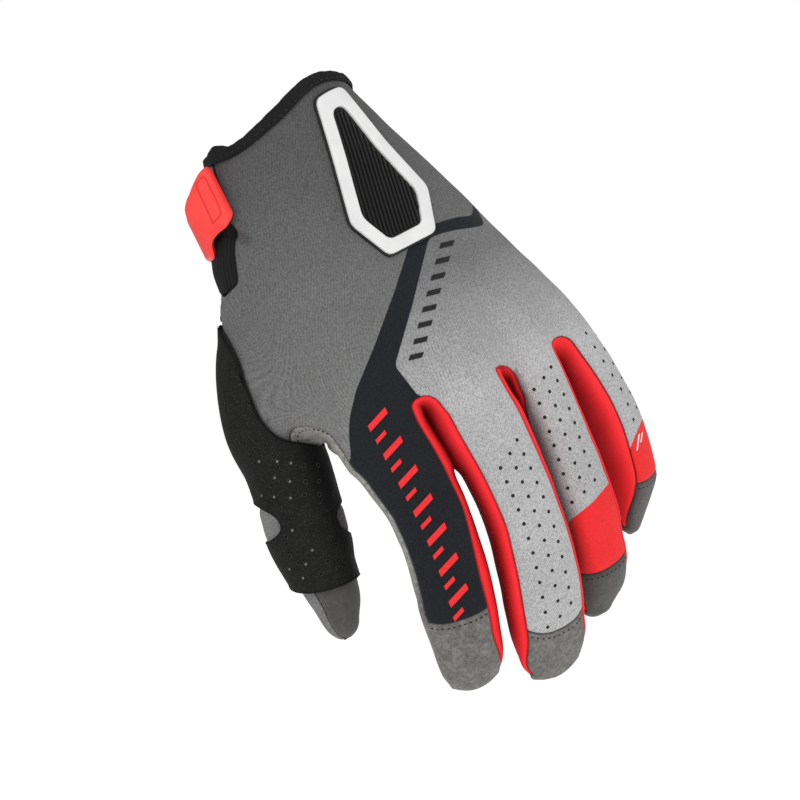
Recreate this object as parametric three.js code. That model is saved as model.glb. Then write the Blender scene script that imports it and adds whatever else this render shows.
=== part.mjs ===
// Motocross glove for the left hand, in the form it has when it is worn.
// Millimetres. The fingers point down (-Z), the back of the hand faces -Y and the thumb is on the -X side.
// The origin is the middle of the wrist opening. A distance "along" the hand is measured down from there.
import * as THREE from "three";

// Walls and clearances
const CLOTH = 1.2;
const SEAM_GAP = 0.46;
const MITRE_LIMIT = 2.5;
const LAYER_GAP = 0.45;

// The hand from the wrist opening to the knuckles: oval sections, half sizes in mm, turn in degrees
const HAND = [
  { along: -12, x: 1, y: 0, wide: 26.1, back: 22.5, palm: 22.5, turn: 0, square: 2.1 },
  { along: 0, x: 0.9, y: 0, wide: 26.9, back: 22.5, palm: 22.5, turn: 0, square: 2.1 },
  { along: 12, x: 0.8, y: -1, wide: 32, back: 21.8, palm: 21.5, turn: 1, square: 2.15 },
  { along: 24, x: -0.2, y: -2, wide: 38.6, back: 21, palm: 20.5, turn: 2, square: 2.2 },
  { along: 46, x: 1.2, y: -4, wide: 47.3, back: 20, palm: 19.5, turn: 4, square: 2.25 },
  { along: 66, x: 9.8, y: -5.5, wide: 46.5, back: 19.5, palm: 17, turn: 7, square: 2.3 },
  { along: 88, x: 17.4, y: -6.5, wide: 48, back: 19, palm: 13, turn: 10, square: 2.4 },
];

// How far below the origin the cloth's top edge lies, round the wrist. Angle 0 is the little finger's side.
const RIM = [
  { angle: 0, along: 0 },
  { angle: 40, along: -4.6 },
  { angle: 75, along: -6.1 },
  { angle: 110, along: -0.2 },
  { angle: 145, along: 3.1 },
  { angle: 180, along: 1.9 },
  { angle: 235, along: 2 },
  { angle: 290, along: 1.6 },
  { angle: 330, along: 1.2 },
];
const RIM_REACH = 22;

// Digits: centre line stations, half sizes, the roll of the back of the digit and the corner angles of its
// sectors. Angle 0 is the little finger's side of a digit and 90 its back.
const DIGITS = {
  thumb: {
    roll: -30, slant: 0, square: 2.1, crown: 0,
    stations: [
      { along: 46, x: -31, y: 3, wide: 9.4, deep: 12.4 },
      { along: 58, x: -36, y: 7, wide: 9.6, deep: 12.6 },
      { along: 72, x: -40.2, y: 12, wide: 11.4, deep: 12.4 },
      { along: 88, x: -42.9, y: 17, wide: 12, deep: 12 },
      { along: 102, x: -41.8, y: 20, wide: 11.8, deep: 11.5 },
      { along: 117, x: -43, y: 23, wide: 11.6, deep: 11.5 },
      { along: 126, x: -43.9, y: 25, wide: 11.5, deep: 11.3 },
      { along: 138, x: -44, y: 26.5, wide: 10.1, deep: 10 },
      { along: 149, x: -43.9, y: 28, wide: 8.4, deep: 8.5 },
      { along: 156, x: -45.1, y: 28.5, wide: 6.3, deep: 6.4 },
      { along: 162.4, x: -45.8, y: 29, wide: 2.9, deep: 2.9 },
    ],
  },
  index: {
    roll: -25, slant: 5, square: 2.5, crown: 3.4, root: 107, tip: 196.5, cap: 171.5, bow: 2.6,
    ulnar: 33, radial: 150, radialRoot: 152,
    stations: [
      { along: 84, x: -18.5, y: -10.8, wide: 15, deep: 11.2 },
      { along: 107, x: -19.3, y: -10, wide: 14.7, deep: 10.8 },
      { along: 120, x: -17.6, y: -9.5, wide: 14, deep: 10.5 },
      { along: 134, x: -16, y: -8.5, wide: 12.9, deep: 10.5 },
      { along: 150, x: -16.4, y: -5.5, wide: 12.8, deep: 10 },
      { along: 165, x: -17.9, y: -1.5, wide: 13, deep: 9.6 },
      { along: 180, x: -18.6, y: 4, wide: 11.6, deep: 8.6 },
      { along: 190, x: -19.4, y: 8, wide: 10.3, deep: 5.8 },
      { along: 196.5, x: -19.6, y: 10.5, wide: 8.2, deep: 2 },
    ],
  },
  middle: {
    roll: 0, slant: 5, square: 2.5, crown: 3.4, root: 109, tip: 205, cap: 186.3, bow: 3.2,
    ulnar: 47, radial: 144, radialRoot: 144,
    stations: [
      { along: 84, x: 9.8, y: -18.5, wide: 14, deep: 11.2 },
      { along: 109, x: 10, y: -18, wide: 14.1, deep: 10.8 },
      { along: 120, x: 10.7, y: -17.4, wide: 14.2, deep: 10.6 },
      { along: 134, x: 11.6, y: -16, wide: 13.4, deep: 10.6 },
      { along: 150, x: 12.1, y: -13, wide: 13, deep: 10.2 },
      { along: 165, x: 10.9, y: -9, wide: 13.4, deep: 9.8 },
      { along: 180, x: 9.4, y: -3.5, wide: 13.8, deep: 9 },
      { along: 193, x: 8.2, y: 2, wide: 13.2, deep: 6.8 },
      { along: 205, x: 6.4, y: 6.5, wide: 9.2, deep: 2 },
    ],
  },
  ring: {
    roll: 12, slant: 5, square: 2.5, crown: 3.2, root: 111, tip: 195, cap: 176.2, bow: 1.6,
    ulnar: 50, radial: 166, radialRoot: 140,
    stations: [
      { along: 84, x: 36.3, y: -12, wide: 12.6, deep: 11 },
      { along: 111, x: 37.4, y: -10.5, wide: 11.5, deep: 10.6 },
      { along: 122, x: 37.8, y: -9.2, wide: 11.4, deep: 10.4 },
      { along: 134, x: 37.8, y: -7.4, wide: 11.7, deep: 10.3 },
      { along: 148, x: 38.2, y: -4, wide: 12.3, deep: 10 },
      { along: 163, x: 38.6, y: 1, wide: 12.2, deep: 9.6 },
      { along: 176, x: 38.2, y: 7, wide: 11.8, deep: 8.6 },
      { along: 186, x: 37.8, y: 11.8, wide: 10.6, deep: 6 },
      { along: 195, x: 36.6, y: 15.6, wide: 7.4, deep: 2 },
    ],
  },
  little: {
    roll: 33, slant: 4, square: 2.4, crown: 3, root: 109, tip: 174.5, cap: 157.4, bow: 1.2,
    ulnar: 25, radial: 130, radialRoot: 132,
    stations: [
      { along: 84, x: 55.5, y: -2, wide: 11.6, deep: 10.6 },
      { along: 109, x: 61.2, y: 0.6, wide: 10.9, deep: 10 },
      { along: 122, x: 64.2, y: 2.4, wide: 10.8, deep: 9.9 },
      { along: 134, x: 66.2, y: 4.6, wide: 10.7, deep: 9.8 },
      { along: 146, x: 67, y: 8.6, wide: 10.6, deep: 9.6 },
      { along: 156, x: 67.2, y: 13.2, wide: 10.8, deep: 8.9 },
      { along: 166, x: 66.6, y: 18.4, wide: 9.6, deep: 6.2 },
      { along: 174.5, x: 65.2, y: 22.4, wide: 6.4, deep: 2 },
    ],
  },
};
const PALM_CORNER = 25;
const TIP_CORNER = 12;
const SLANT_FADE = 34;
const TIP_NARROWS = 22;
const ROOT_BLENDS = 16;

// The thumb is sewn in along a slanting loop, from its outer top to the crotch beside the index finger
const THUMB_TOP = 57;
const THUMB_CROTCH = 101;
const THUMB_SEAM = [
  { angle: 0, along: 101 },
  { angle: 22, along: 100 },
  { angle: 45, along: 96.8 },
  { angle: 70, along: 92.2 },
  { angle: 85, along: 87.4 },
  { angle: 97, along: 80.5 },
  { angle: 106, along: 73 },
  { angle: 116, along: 66.8 },
  { angle: 135, along: 61.8 },
  { angle: 158, along: 58.4 },
  { angle: 180, along: 57 },
];
const THUMB_FULL = 106;
const THUMB_POLE = 163.6;

// Columns across the hand from the little finger to the thumb: their edges as angles of the hand's section
const COLUMNS = [
  { name: "little", wrist: [0, 33], knuckle: [0, 45] },
  { name: "web_ring_little", wrist: [33, 40], knuckle: [45, 55] },
  { name: "ring", wrist: [40, 64], knuckle: [55, 79] },
  { name: "web_middle_ring", wrist: [64, 70], knuckle: [79, 85] },
  { name: "middle", wrist: [70, 96], knuckle: [85, 108] },
  { name: "web_index_middle", wrist: [96, 104], knuckle: [108, 118] },
  { name: "index", wrist: [104, 140], knuckle: [118, 162], palmWrist: [104, 128], palmKnuckle: [118, 134] },
];
const KNUCKLE_ROW = 74;
const HAND_ROWS = [0, 8, 16, 24, 31, 38, 43, 50, 57, 60, 65, 74];
const KNUCKLE_STEPS = [0.25, 0.5, 0.75, 1];
const GUSSET_EDGE = [
  { along: -12, angle: 164 },
  { along: 0, angle: 164 },
  { along: 16, angle: 156 },
  { along: 24, angle: 153 },
  { along: 31, angle: 157 },
  { along: 38, angle: 165 },
  { along: 43, angle: 180 },
];
const GUSSET_END = 43;

// Facets: quads across each sector and along each digit
const BACK_QUADS = 4;
const SIDE_QUADS = 3;
const WEB_QUADS = 3;
const THUMB_WEB_QUADS = 6;
const DIGIT_STEPS = [0, 0.1, 0.21, 0.34, 0.48, 0.62, 0.76, 0.89, 1];
const CAP_STEPS = [0.35, 0.65, 0.86, 1];
const THUMB_STEPS = [110, 115, 120, 126, 132, 138, 144, 149, 154, 158, 161.4];
const THUMB_BASE_STEPS = 5;

// Length over which a slope is read, and how often a search halves its range
const SLOPE_STEP = 2;
const HALVINGS = 40;

const rad = (degrees) => (degrees * Math.PI) / 180;
const mix = (a, b, t) => a + (b - a) * t;
const clamp01 = (t) => Math.min(1, Math.max(0, t));
const smooth = (t) => clamp01(t) ** 2 * (3 - 2 * clamp01(t));
const vec = (x, y, z) => new THREE.Vector3(x, y, z);

// A smooth curve through a table's rows, read at one value of its key column
function readTable(rows, key, field, at) {
  let i = 0;
  while (i < rows.length - 2 && at > rows[i + 1][key]) i += 1;
  const [a, b] = [rows[i], rows[i + 1]];
  const span = b[key] - a[key];
  const slope = (lo, hi) => (rows[hi][field] - rows[lo][field]) / (rows[hi][key] - rows[lo][key]);
  const startSlope = i > 0 ? slope(i - 1, i + 1) : slope(i, i + 1);
  const endSlope = i + 2 < rows.length ? slope(i, i + 2) : slope(i, i + 1);
  const t = clamp01((at - a[key]) / span);
  return cubic(a[field], startSlope * span, b[field], endSlope * span, t);
}

function cubic(start, startSlope, end, endSlope, t) {
  const t2 = t * t;
  const t3 = t2 * t;
  return (2 * t3 - 3 * t2 + 1) * start + (t3 - 2 * t2 + t) * startSlope
    + (3 * t2 - 2 * t3) * end + (t3 - t2) * endSlope;
}

function cubicPoint(start, startSlope, end, endSlope, t) {
  const axis = (name) => cubic(start[name], startSlope[name], end[name], endSlope[name], t);
  return vec(axis("x"), axis("y"), axis("z"));
}

// Point of an oval whose corners are squarer than an ellipse's
function oval(degrees, square) {
  const [c, s] = [Math.cos(rad(degrees)), Math.sin(rad(degrees))];
  const power = 2 / square;
  return [Math.sign(c) * Math.abs(c) ** power, Math.sign(s) * Math.abs(s) ** power];
}

function rimAt(angle) {
  const turned = ((angle % 360) + 360) % 360;
  const rows = [...RIM, { angle: 360, along: RIM[0].along }];
  return readTable(rows, "angle", "along", turned);
}

// The outside of the hand. Angle 0 is the little finger's edge, 90 the back and 180 the thumb's edge.
function handPoint(angle, along) {
  const read = (field) => readTable(HAND, "along", field, along);
  const [c, s] = oval(angle, read("square"));
  const side = read("wide") * c;
  const lift = s > 0 ? read("back") * s : read("palm") * s;
  const turn = rad(read("turn"));
  const x = read("x") + side * Math.cos(turn) + lift * Math.sin(turn);
  const y = read("y") + side * Math.sin(turn) - lift * Math.cos(turn);
  const towardRim = clamp01(1 - Math.max(0, along) / RIM_REACH);
  return vec(x, y, -(along + rimAt(angle) * towardRim));
}

// Centre of a digit at one station, with its directions to the little finger's side, to its back and down
function digitFrame(digit, along) {
  const at = (where) => {
    const read = (field) => readTable(digit.stations, "along", field, where);
    return vec(read("x"), read("y"), -where);
  };
  const centre = at(along);
  const down = at(along + SLOPE_STEP).sub(at(along - SLOPE_STEP));
  down.z = -2 * SLOPE_STEP;
  down.normalize();
  const across = vec(Math.cos(rad(digit.roll)), Math.sin(rad(digit.roll)), 0);
  across.addScaledVector(down, -across.dot(down)).normalize();
  const lift = down.clone().cross(across);
  return { centre, down, across, lift };
}

// The outside of a digit at one station and angle, flattened to a line where flat is 1
function digitPoint(digit, along, angle, flat = 0) {
  const frame = digitFrame(digit, along);
  const read = (field) => readTable(digit.stations, "along", field, along);
  const [c, s] = oval(angle, digit.square);
  const point = frame.centre.clone();
  point.addScaledVector(frame.across, read("wide") * c);
  point.addScaledVector(frame.lift, read("deep") * s * (1 - flat));
  const fromRoot = digit.root ? clamp01(1 - (along - digit.root) / SLANT_FADE) : 0;
  point.addScaledVector(frame.down, -digit.slant * s * fromRoot);
  const toTip = digit.tip ? clamp01(1 - (digit.tip - along) / TIP_NARROWS) : 0;
  point.addScaledVector(frame.down, -digit.crown * c * c * toTip * toTip);
  return point;
}

// The thumb's seam loop: its distance along for an angle on the thumb, and the reverse
function seamAlong(angle) {
  return readTable(THUMB_SEAM, "angle", "along", Math.min(180, Math.abs(angle)));
}

function seamAngle(along) {
  let [low, high] = [0, 180];
  for (let i = 0; i < HALVINGS; i += 1) {
    const middle = (low + high) / 2;
    if (seamAlong(middle) > along) low = middle;
    else high = middle;
  }
  return (low + high) / 2;
}

const SEAM_CORNER = 60;
const SEAM_LAST = seamAlong(SEAM_CORNER);

// The skin is gathered as grids of points, each with the name of its piece
const skin = [];
function addGrid(piece, rows, flip = false) {
  skin.push({ piece, rows, flip });
}

const gridOf = (rowKeys, columnKeys, at) => rowKeys.map((r) => columnKeys.map((c) => at(r, c)));
const steps = (count) => Array.from({ length: count + 1 }, (_, i) => i / count);

// Corner angles of a digit's sectors, drawing together towards the tip
function corners(digit, along) {
  const toTip = smooth(1 - (digit.tip - along) / TIP_NARROWS);
  const radial = mix(digit.radialRoot, digit.radial, smooth((along - digit.root) / ROOT_BLENDS));
  return {
    backUlnar: mix(digit.ulnar, TIP_CORNER, toTip),
    backRadial: mix(radial, 180 - TIP_CORNER, toTip),
    palmUlnar: mix(-PALM_CORNER, -TIP_CORNER, toTip),
    palmRadial: mix(180 + PALM_CORNER, 180 + TIP_CORNER, toTip),
  };
}

// Angle in a sector, given the share of the way across it
const SECTORS = {
  back: (digit, along, share) => {
    const c = corners(digit, along);
    return mix(c.backUlnar, c.backRadial, share);
  },
  palm: (digit, along, share) => {
    const c = corners(digit, along);
    return mix(c.palmUlnar, c.palmRadial - 360, share);
  },
  ulnar: (digit, along, share) => {
    const c = corners(digit, along);
    return mix(c.backUlnar, c.palmUlnar, share);
  },
  radial: (digit, along, share) => {
    const c = corners(digit, along);
    return mix(c.backRadial, c.palmRadial, share);
  },
};

// Distance along for one step of a digit: 0 at the root, 1 at the cap seam, 2 at the tip. The seam bows.
function stepAlong(digit, step, share) {
  const bow = digit.bow * (Math.sin(Math.PI * share) - 0.6);
  if (step <= 1) return mix(digit.root, digit.cap + bow * step ** 4, step);
  return mix(digit.cap + bow, digit.tip, step - 1);
}

function digitSkinPoint(digit, sector, step, share) {
  const bowShare = sector === "back" ? share : 0;
  const along = stepAlong(digit, step, bowShare);
  const atTip = step >= 2;
  const side = sector === "ulnar" || sector === "radial";
  const angle = SECTORS[sector](digit, along, side && atTip ? 0 : share);
  return digitPoint(digit, along, angle, atTip ? 1 : 0);
}

// The four fingers' tubes
function addFinger(name, ulnarPiece, radialPiece) {
  const digit = DIGITS[name];
  const capSteps = CAP_STEPS.map((s) => 1 + s);
  const whole = [...DIGIT_STEPS, ...capSteps];
  const across = steps(BACK_QUADS);
  const deep = steps(SIDE_QUADS);
  const at = (sector) => (step, share) => digitSkinPoint(digit, sector, step, share);
  addGrid("back_panel", gridOf(DIGIT_STEPS, across, at("back")));
  addGrid("palm_panel", gridOf([1, ...capSteps], across, at("back")));
  addGrid("palm_panel", gridOf(whole, across, at("palm")), true);
  addGrid(ulnarPiece, gridOf(whole.slice(0, -2), deep, at("ulnar")), true);
  addGrid(radialPiece, gridOf(whole.slice(0, -2), deep, at("radial")));
  addGrid("palm_panel", gridOf(whole.slice(-3), deep, at("ulnar")), true);
  addGrid("palm_panel", gridOf(whole.slice(-3), deep, at("radial")));
}

// The rows of the hand: distances as far as the knuckles, then shares of the way to the fingers' roots
const ROWS = [
  ...HAND_ROWS.map((along) => ({ along, share: 0 })),
  ...KNUCKLE_STEPS.map((share) => ({ along: mix(KNUCKLE_ROW, SEAM_LAST, share), share })),
];

function columnAngle(column, t, along, side) {
  const wrist = side < 0 && column.palmWrist ? column.palmWrist : column.wrist;
  const knuckle = side < 0 && column.palmKnuckle ? column.palmKnuckle : column.knuckle;
  const open = smooth(along / KNUCKLE_ROW);
  return side * mix(mix(wrist[0], wrist[1], t), mix(knuckle[0], knuckle[1], t), open);
}

// A smooth run from the knuckles, at one angle on the hand, into one angle of a finger's root
function rootRun(digit, startAngle, rootAngle, share) {
  const end = digitPoint(digit, digit.root, rootAngle);
  const endSlope = digitPoint(digit, digit.root + SLOPE_STEP, rootAngle).sub(end);
  const start = handPoint(startAngle, KNUCKLE_ROW);
  const startSlope = start.clone().sub(handPoint(startAngle, KNUCKLE_ROW - SLOPE_STEP));
  const length = start.distanceTo(end) / SLOPE_STEP;
  startSlope.multiplyScalar(length);
  endSlope.multiplyScalar(length);
  return cubicPoint(start, startSlope, end, endSlope, share);
}

// A finger's column on the hand: the hand's own surface, then the run into the finger's root
function fingerColumnPoint(column, t, row, side) {
  if (row.share === 0) return handPoint(columnAngle(column, t, row.along, side), row.along);
  const digit = DIGITS[column.name];
  const sector = side > 0 ? "back" : "palm";
  const rootAngle = SECTORS[sector](digit, digit.root, t);
  return rootRun(digit, columnAngle(column, t, KNUCKLE_ROW, side), rootAngle, row.share);
}

// The hand's edge opening out into the little finger's outer side
function outerSidePoint(row, t) {
  const { little } = DIGITS;
  if (row.share === 0) return handPoint(0, row.along);
  return rootRun(little, 0, SECTORS.ulnar(little, little.root, t), row.share);
}

// A fold between two digits: from the first one's side over the crotch to the next one's side
function crotchPoint(from, fromDown, to, toDown, rise, t) {
  return cubicPoint(from, fromDown.clone().multiplyScalar(-rise), to, toDown.clone().multiplyScalar(rise), t);
}

const WEBS = {
  web_index_middle: { digits: ["middle", "index"], back: 13, palm: 9 },
  web_middle_ring: { digits: ["ring", "middle"], back: 8, palm: 5 },
  web_ring_little: { digits: ["little", "ring"], back: 13, palm: 8 },
};

function webColumnPoint(column, t, row, side) {
  const web = WEBS[column.name];
  if (row.share === 0) return handPoint(columnAngle(column, t, row.along, side), row.along);
  const [first, last] = web.digits.map((name) => COLUMNS.find((c) => c.name === name));
  const from = fingerColumnPoint(first, 1, row, side);
  const to = fingerColumnPoint(last, 0, row, side);
  const [fromDown, toDown] = web.digits.map((name) => digitFrame(DIGITS[name], DIGITS[name].root).down);
  const rise = side > 0 ? web.back : web.palm;
  const straight = to.clone().sub(from);
  const lead = row.share ** 2;
  const slope = (down, pull) => straight.clone().multiplyScalar(1 - lead).addScaledVector(down, pull * lead);
  return cubicPoint(from, slope(fromDown, -rise), to, slope(toDown, rise), t);
}

// The thumb's side of the hand: from the index finger's outer column to the gusset or the thumb's seam
const THUMB_WEB = { back: 26, palm: 16, seamPull: 0.8, seamStep: 4 };
const gussetAngle = (along) => readTable(GUSSET_EDGE, "along", "angle", along);

function thumbEdgePoint(row, side) {
  const thumb = DIGITS.thumb;
  if (row.along <= GUSSET_END) return handPoint(side * gussetAngle(row.along), row.along);
  if (row.along > THUMB_TOP) return digitPoint(thumb, row.along, side * seamAngle(row.along));
  const reach = THUMB_TOP - GUSSET_END;
  const start = handPoint(180, GUSSET_END);
  const startSlope = start.clone().sub(handPoint(180, GUSSET_END - 1)).multiplyScalar(reach);
  const top = digitPoint(thumb, THUMB_TOP, 180);
  const topSlope = digitPoint(thumb, THUMB_TOP + 1, 180).sub(top).multiplyScalar(reach);
  return cubicPoint(start, startSlope, top, topSlope, (row.along - GUSSET_END) / reach);
}

function thumbWebPoint(t, row, side) {
  const index = COLUMNS.find((c) => c.name === "index");
  const from = fingerColumnPoint(index, 1, row, side);
  const to = thumbEdgePoint(row, side);
  if (row.along <= GUSSET_END) {
    const angle = mix(columnAngle(index, 1, row.along, side), side * gussetAngle(row.along), t);
    return handPoint(angle, row.along);
  }
  const reach = from.distanceTo(to);
  const before = fingerColumnPoint(index, 0.9, row, side);
  const fromSlope = from.clone().sub(before).normalize().multiplyScalar(reach);
  const edgeAngle = row.along > THUMB_TOP ? seamAngle(row.along) : 180;
  const onSeam = (angle) => digitPoint(DIGITS.thumb, Math.max(row.along, THUMB_TOP), side * angle);
  const past = onSeam(edgeAngle + THUMB_WEB.seamStep);
  const toSlope = past.sub(onSeam(edgeAngle)).normalize().multiplyScalar(reach * THUMB_WEB.seamPull);
  const lead = row.share ** 3;
  const rise = side > 0 ? THUMB_WEB.back : THUMB_WEB.palm;
  const fromDown = digitFrame(DIGITS.index, DIGITS.index.root).down;
  const toDown = digitFrame(DIGITS.thumb, THUMB_CROTCH).down;
  fromSlope.multiplyScalar(1 - lead).addScaledVector(fromDown, -rise * lead);
  toSlope.multiplyScalar(1 - lead).addScaledVector(toDown, rise * lead);
  return cubicPoint(from, fromSlope, to, toSlope, t);
}

function addHand() {
  for (const side of [1, -1]) {
    const piece = side > 0 ? "back_panel" : "palm_panel";
    const flip = side < 0;
    for (const column of COLUMNS) {
      const isWeb = column.name in WEBS;
      const at = isWeb ? webColumnPoint : fingerColumnPoint;
      const across = steps(isWeb ? WEB_QUADS : BACK_QUADS);
      addGrid(piece, gridOf(ROWS, across, (row, t) => at(column, t, row, side)), flip);
    }
    addGrid(piece, gridOf(ROWS, steps(THUMB_WEB_QUADS), (row, t) => thumbWebPoint(t, row, side)), flip);
  }
  const knuckleRows = ROWS.filter((row) => row.along >= KNUCKLE_ROW);
  addGrid("back_panel", gridOf(knuckleRows, steps(SIDE_QUADS), outerSidePoint), true);
  const radialOf = (row, share) => {
    const edge = gussetAngle(row.along);
    return handPoint(mix(edge, 360 - edge, share), row.along);
  };
  const rows = ROWS.filter((row) => row.along <= GUSSET_END);
  addGrid("wrist_gusset", gridOf(rows, steps(SIDE_QUADS), radialOf));
}

// The folds between the fingers, each part of its fourchette, and the suede fold beside the thumb
function addCrotches() {
  for (const [name, web] of Object.entries(WEBS)) {
    const piece = name.replace("web", "fourchette");
    const [first, last] = web.digits.map((digitName) => DIGITS[digitName]);
    const at = (share, t) => {
      const from = digitSkinPoint(first, "radial", 0, share);
      const to = digitSkinPoint(last, "ulnar", 0, share);
      const rise = mix(web.back, web.palm, share);
      const [fromDown, toDown] = [first, last].map((digit) => digitFrame(digit, digit.root).down);
      return crotchPoint(from, fromDown, to, toDown, rise, t);
    };
    addGrid(piece, gridOf(steps(SIDE_QUADS), steps(WEB_QUADS), at));
  }
  const { index, thumb } = DIGITS;
  const beside = (share, t) => {
    const seam = mix(SEAM_CORNER, -SEAM_CORNER, share);
    const from = digitSkinPoint(index, "radial", 0, share);
    const to = digitPoint(thumb, seamAlong(seam), seam);
    const rise = mix(THUMB_WEB.back, THUMB_WEB.palm, share);
    const toDown = digitFrame(thumb, THUMB_CROTCH).down;
    return crotchPoint(from, digitFrame(index, index.root).down, to, toDown, rise, t);
  };
  addGrid("palm_panel", gridOf(steps(SIDE_QUADS), steps(THUMB_WEB_QUADS), beside));
}

// The thumb: its lines start on the seam loop at the hand's rows
function thumbLines() {
  const backRows = ROWS.filter((row) => row.along > THUMB_TOP).map((row) => seamAngle(row.along));
  const inner = steps(SIDE_QUADS).slice(1, -1).map((share) => mix(SEAM_CORNER, -SEAM_CORNER, share));
  const palm = backRows.map((angle) => -angle).reverse();
  return [180, ...backRows, ...inner, ...palm, -180];
}

function thumbPoint(angle, step) {
  const along = step.along ?? mix(seamAlong(angle), THUMB_FULL, step.base);
  return digitPoint(DIGITS.thumb, along, angle);
}

const THUMB_FRONT_FROM = 122;
const THUMB_FRONT_TO = -104;
function addThumb() {
  const lines = thumbLines();
  const frontStart = lines.findIndex((angle) => angle <= THUMB_FRONT_FROM);
  const frontEnd = lines.findIndex((angle) => angle <= THUMB_FRONT_TO);
  const rings = [
    ...steps(THUMB_BASE_STEPS).map((base) => ({ base })),
    ...THUMB_STEPS.map((along) => ({ along })),
  ];
  const pole = digitFrame(DIGITS.thumb, THUMB_POLE).centre;
  pole.z = -THUMB_POLE;
  const tube = (piece, angles) => {
    const rows = gridOf(rings, angles, (step, angle) => thumbPoint(angle, step));
    rows.push(angles.map(() => pole));
    addGrid(piece, rows, true);
  };
  tube("thumb_back", lines.slice(0, frontStart + 1));
  tube("thumb_front", lines.slice(frontStart, frontEnd + 1));
  tube("thumb_back", lines.slice(frontEnd));
}

addHand();
addCrotches();
addFinger("index", "fourchette_index_middle", "palm_panel");
addFinger("middle", "fourchette_middle_ring", "fourchette_index_middle");
addFinger("ring", "fourchette_ring_little", "fourchette_middle_ring");
addFinger("little", "back_panel", "fourchette_ring_little");
addThumb();

// All grids joined into one skin whose neighbours share their points, so that walls meet with mitred edges
function joinSkin(grids) {
  const points = [];
  const index = new Map();
  const idOf = (p) => {
    const key = [p.x, p.y, p.z].map((v) => Math.round(v * 1000)).join();
    if (!index.has(key)) {
      index.set(key, points.length);
      points.push(p.clone());
    }
    return index.get(key);
  };
  const faces = [];
  for (const { piece, rows, flip } of grids) {
    for (let r = 0; r + 1 < rows.length; r += 1) {
      for (let c = 0; c + 1 < rows[r].length; c += 1) {
        const quad = [rows[r][c], rows[r][c + 1], rows[r + 1][c + 1], rows[r + 1][c]].map(idOf);
        const ring = quad.filter((id, i) => id !== quad[(i + 1) % 4]);
        if (ring.length < 3) continue;
        if (flip) ring.reverse();
        for (let i = 1; i + 1 < ring.length; i += 1) {
          faces.push({ piece, ids: [ring[0], ring[i], ring[i + 1]] });
        }
      }
    }
  }
  const normals = points.map(() => vec(0, 0, 0));
  for (const { ids } of faces) {
    const [a, b, c] = ids.map((id) => points[id]);
    const normal = b.clone().sub(a).cross(c.clone().sub(a));
    for (const id of ids) normals[id].add(normal);
  }
  for (const normal of normals) normal.normalize();
  return { points, faces, normals };
}

// The step that takes a corner away from both of its edges by one unit
function mitre(inwards) {
  const sum = inwards.reduce((total, v) => total.add(v), vec(0, 0, 0));
  const both = inwards.length === 2 ? 1 + inwards[0].dot(inwards[1]) : 1;
  const longest = MITRE_LIMIT / Math.max(sum.length(), 0.01);
  return sum.multiplyScalar(Math.min(1 / Math.max(both, 0.01), longest));
}

// A wall of one piece: its faces lifted by outer and lowered by inner, closed by a rim, its edges drawn in
function wallMesh(sheet, piece, outer, inner, drawnIn = SEAM_GAP / 2) {
  const faces = sheet.faces.filter((face) => face.piece === piece).map((face) => face.ids);
  const edges = new Map();
  for (const ids of faces) {
    ids.forEach((a, i) => {
      const b = ids[(i + 1) % 3];
      if (edges.has(`${b},${a}`)) edges.delete(`${b},${a}`);
      else edges.set(`${a},${b}`, [a, b]);
    });
  }
  const inwards = new Map();
  for (const [a, b] of edges.values()) {
    const along = sheet.points[b].clone().sub(sheet.points[a]).normalize();
    for (const id of [a, b]) {
      const inward = sheet.normals[id].clone().cross(along).normalize();
      inwards.set(id, [...(inwards.get(id) ?? []), inward]);
    }
  }
  const used = [...new Set(faces.flat())];
  const place = new Map(used.map((id, i) => [id, i]));
  const positions = [];
  for (const level of [outer, -inner]) {
    for (const id of used) {
      const p = sheet.points[id].clone().addScaledVector(sheet.normals[id], level);
      if (inwards.has(id)) p.addScaledVector(mitre(inwards.get(id)), drawnIn);
      positions.push(p.x, p.y, p.z);
    }
  }
  const triangles = [];
  for (const [a, b, c] of faces) {
    triangles.push(place.get(a), place.get(b), place.get(c));
    triangles.push(place.get(a) + used.length, place.get(c) + used.length, place.get(b) + used.length);
  }
  for (const [a, b] of edges.values()) {
    const [i, j] = [place.get(a), place.get(b)];
    triangles.push(j, i, i + used.length);
    triangles.push(j, i + used.length, j + used.length);
  }
  const geometry = new THREE.BufferGeometry();
  geometry.setAttribute("position", new THREE.Float32BufferAttribute(positions, 3));
  geometry.setIndex(triangles);
  return geometry;
}

// A wall made from a grid of points on its outer side, its inner side lowered along the grid's own normals.
// A closed grid's last column meets its first one.
function plateMesh(rows, thickness, closed = false) {
  const sheet = joinSkin([{ piece: "plate", rows: closed ? rows.map((row) => [...row, row[0]]) : rows }]);
  return wallMesh(sheet, "plate", 0, thickness, 0);
}

// A closed band: the same number of points at each place round a loop, joined to the next place's points
function bandMesh(count, pointAt) {
  const sections = Array.from({ length: count }, (_, i) => pointAt(i / count));
  const size = sections[0].length;
  const positions = sections.flat().flatMap((p) => [p.x, p.y, p.z]);
  const triangles = [];
  for (let i = 0; i < count; i += 1) {
    const next = (i + 1) % count;
    for (let j = 0; j < size; j += 1) {
      const k = (j + 1) % size;
      const [a, b, c, d] = [i * size + j, i * size + k, next * size + k, next * size + j];
      triangles.push(a, b, c, a, c, d);
    }
  }
  const geometry = new THREE.BufferGeometry();
  geometry.setAttribute("position", new THREE.Float32BufferAttribute(positions, 3));
  geometry.setIndex(triangles);
  return geometry;
}

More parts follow.
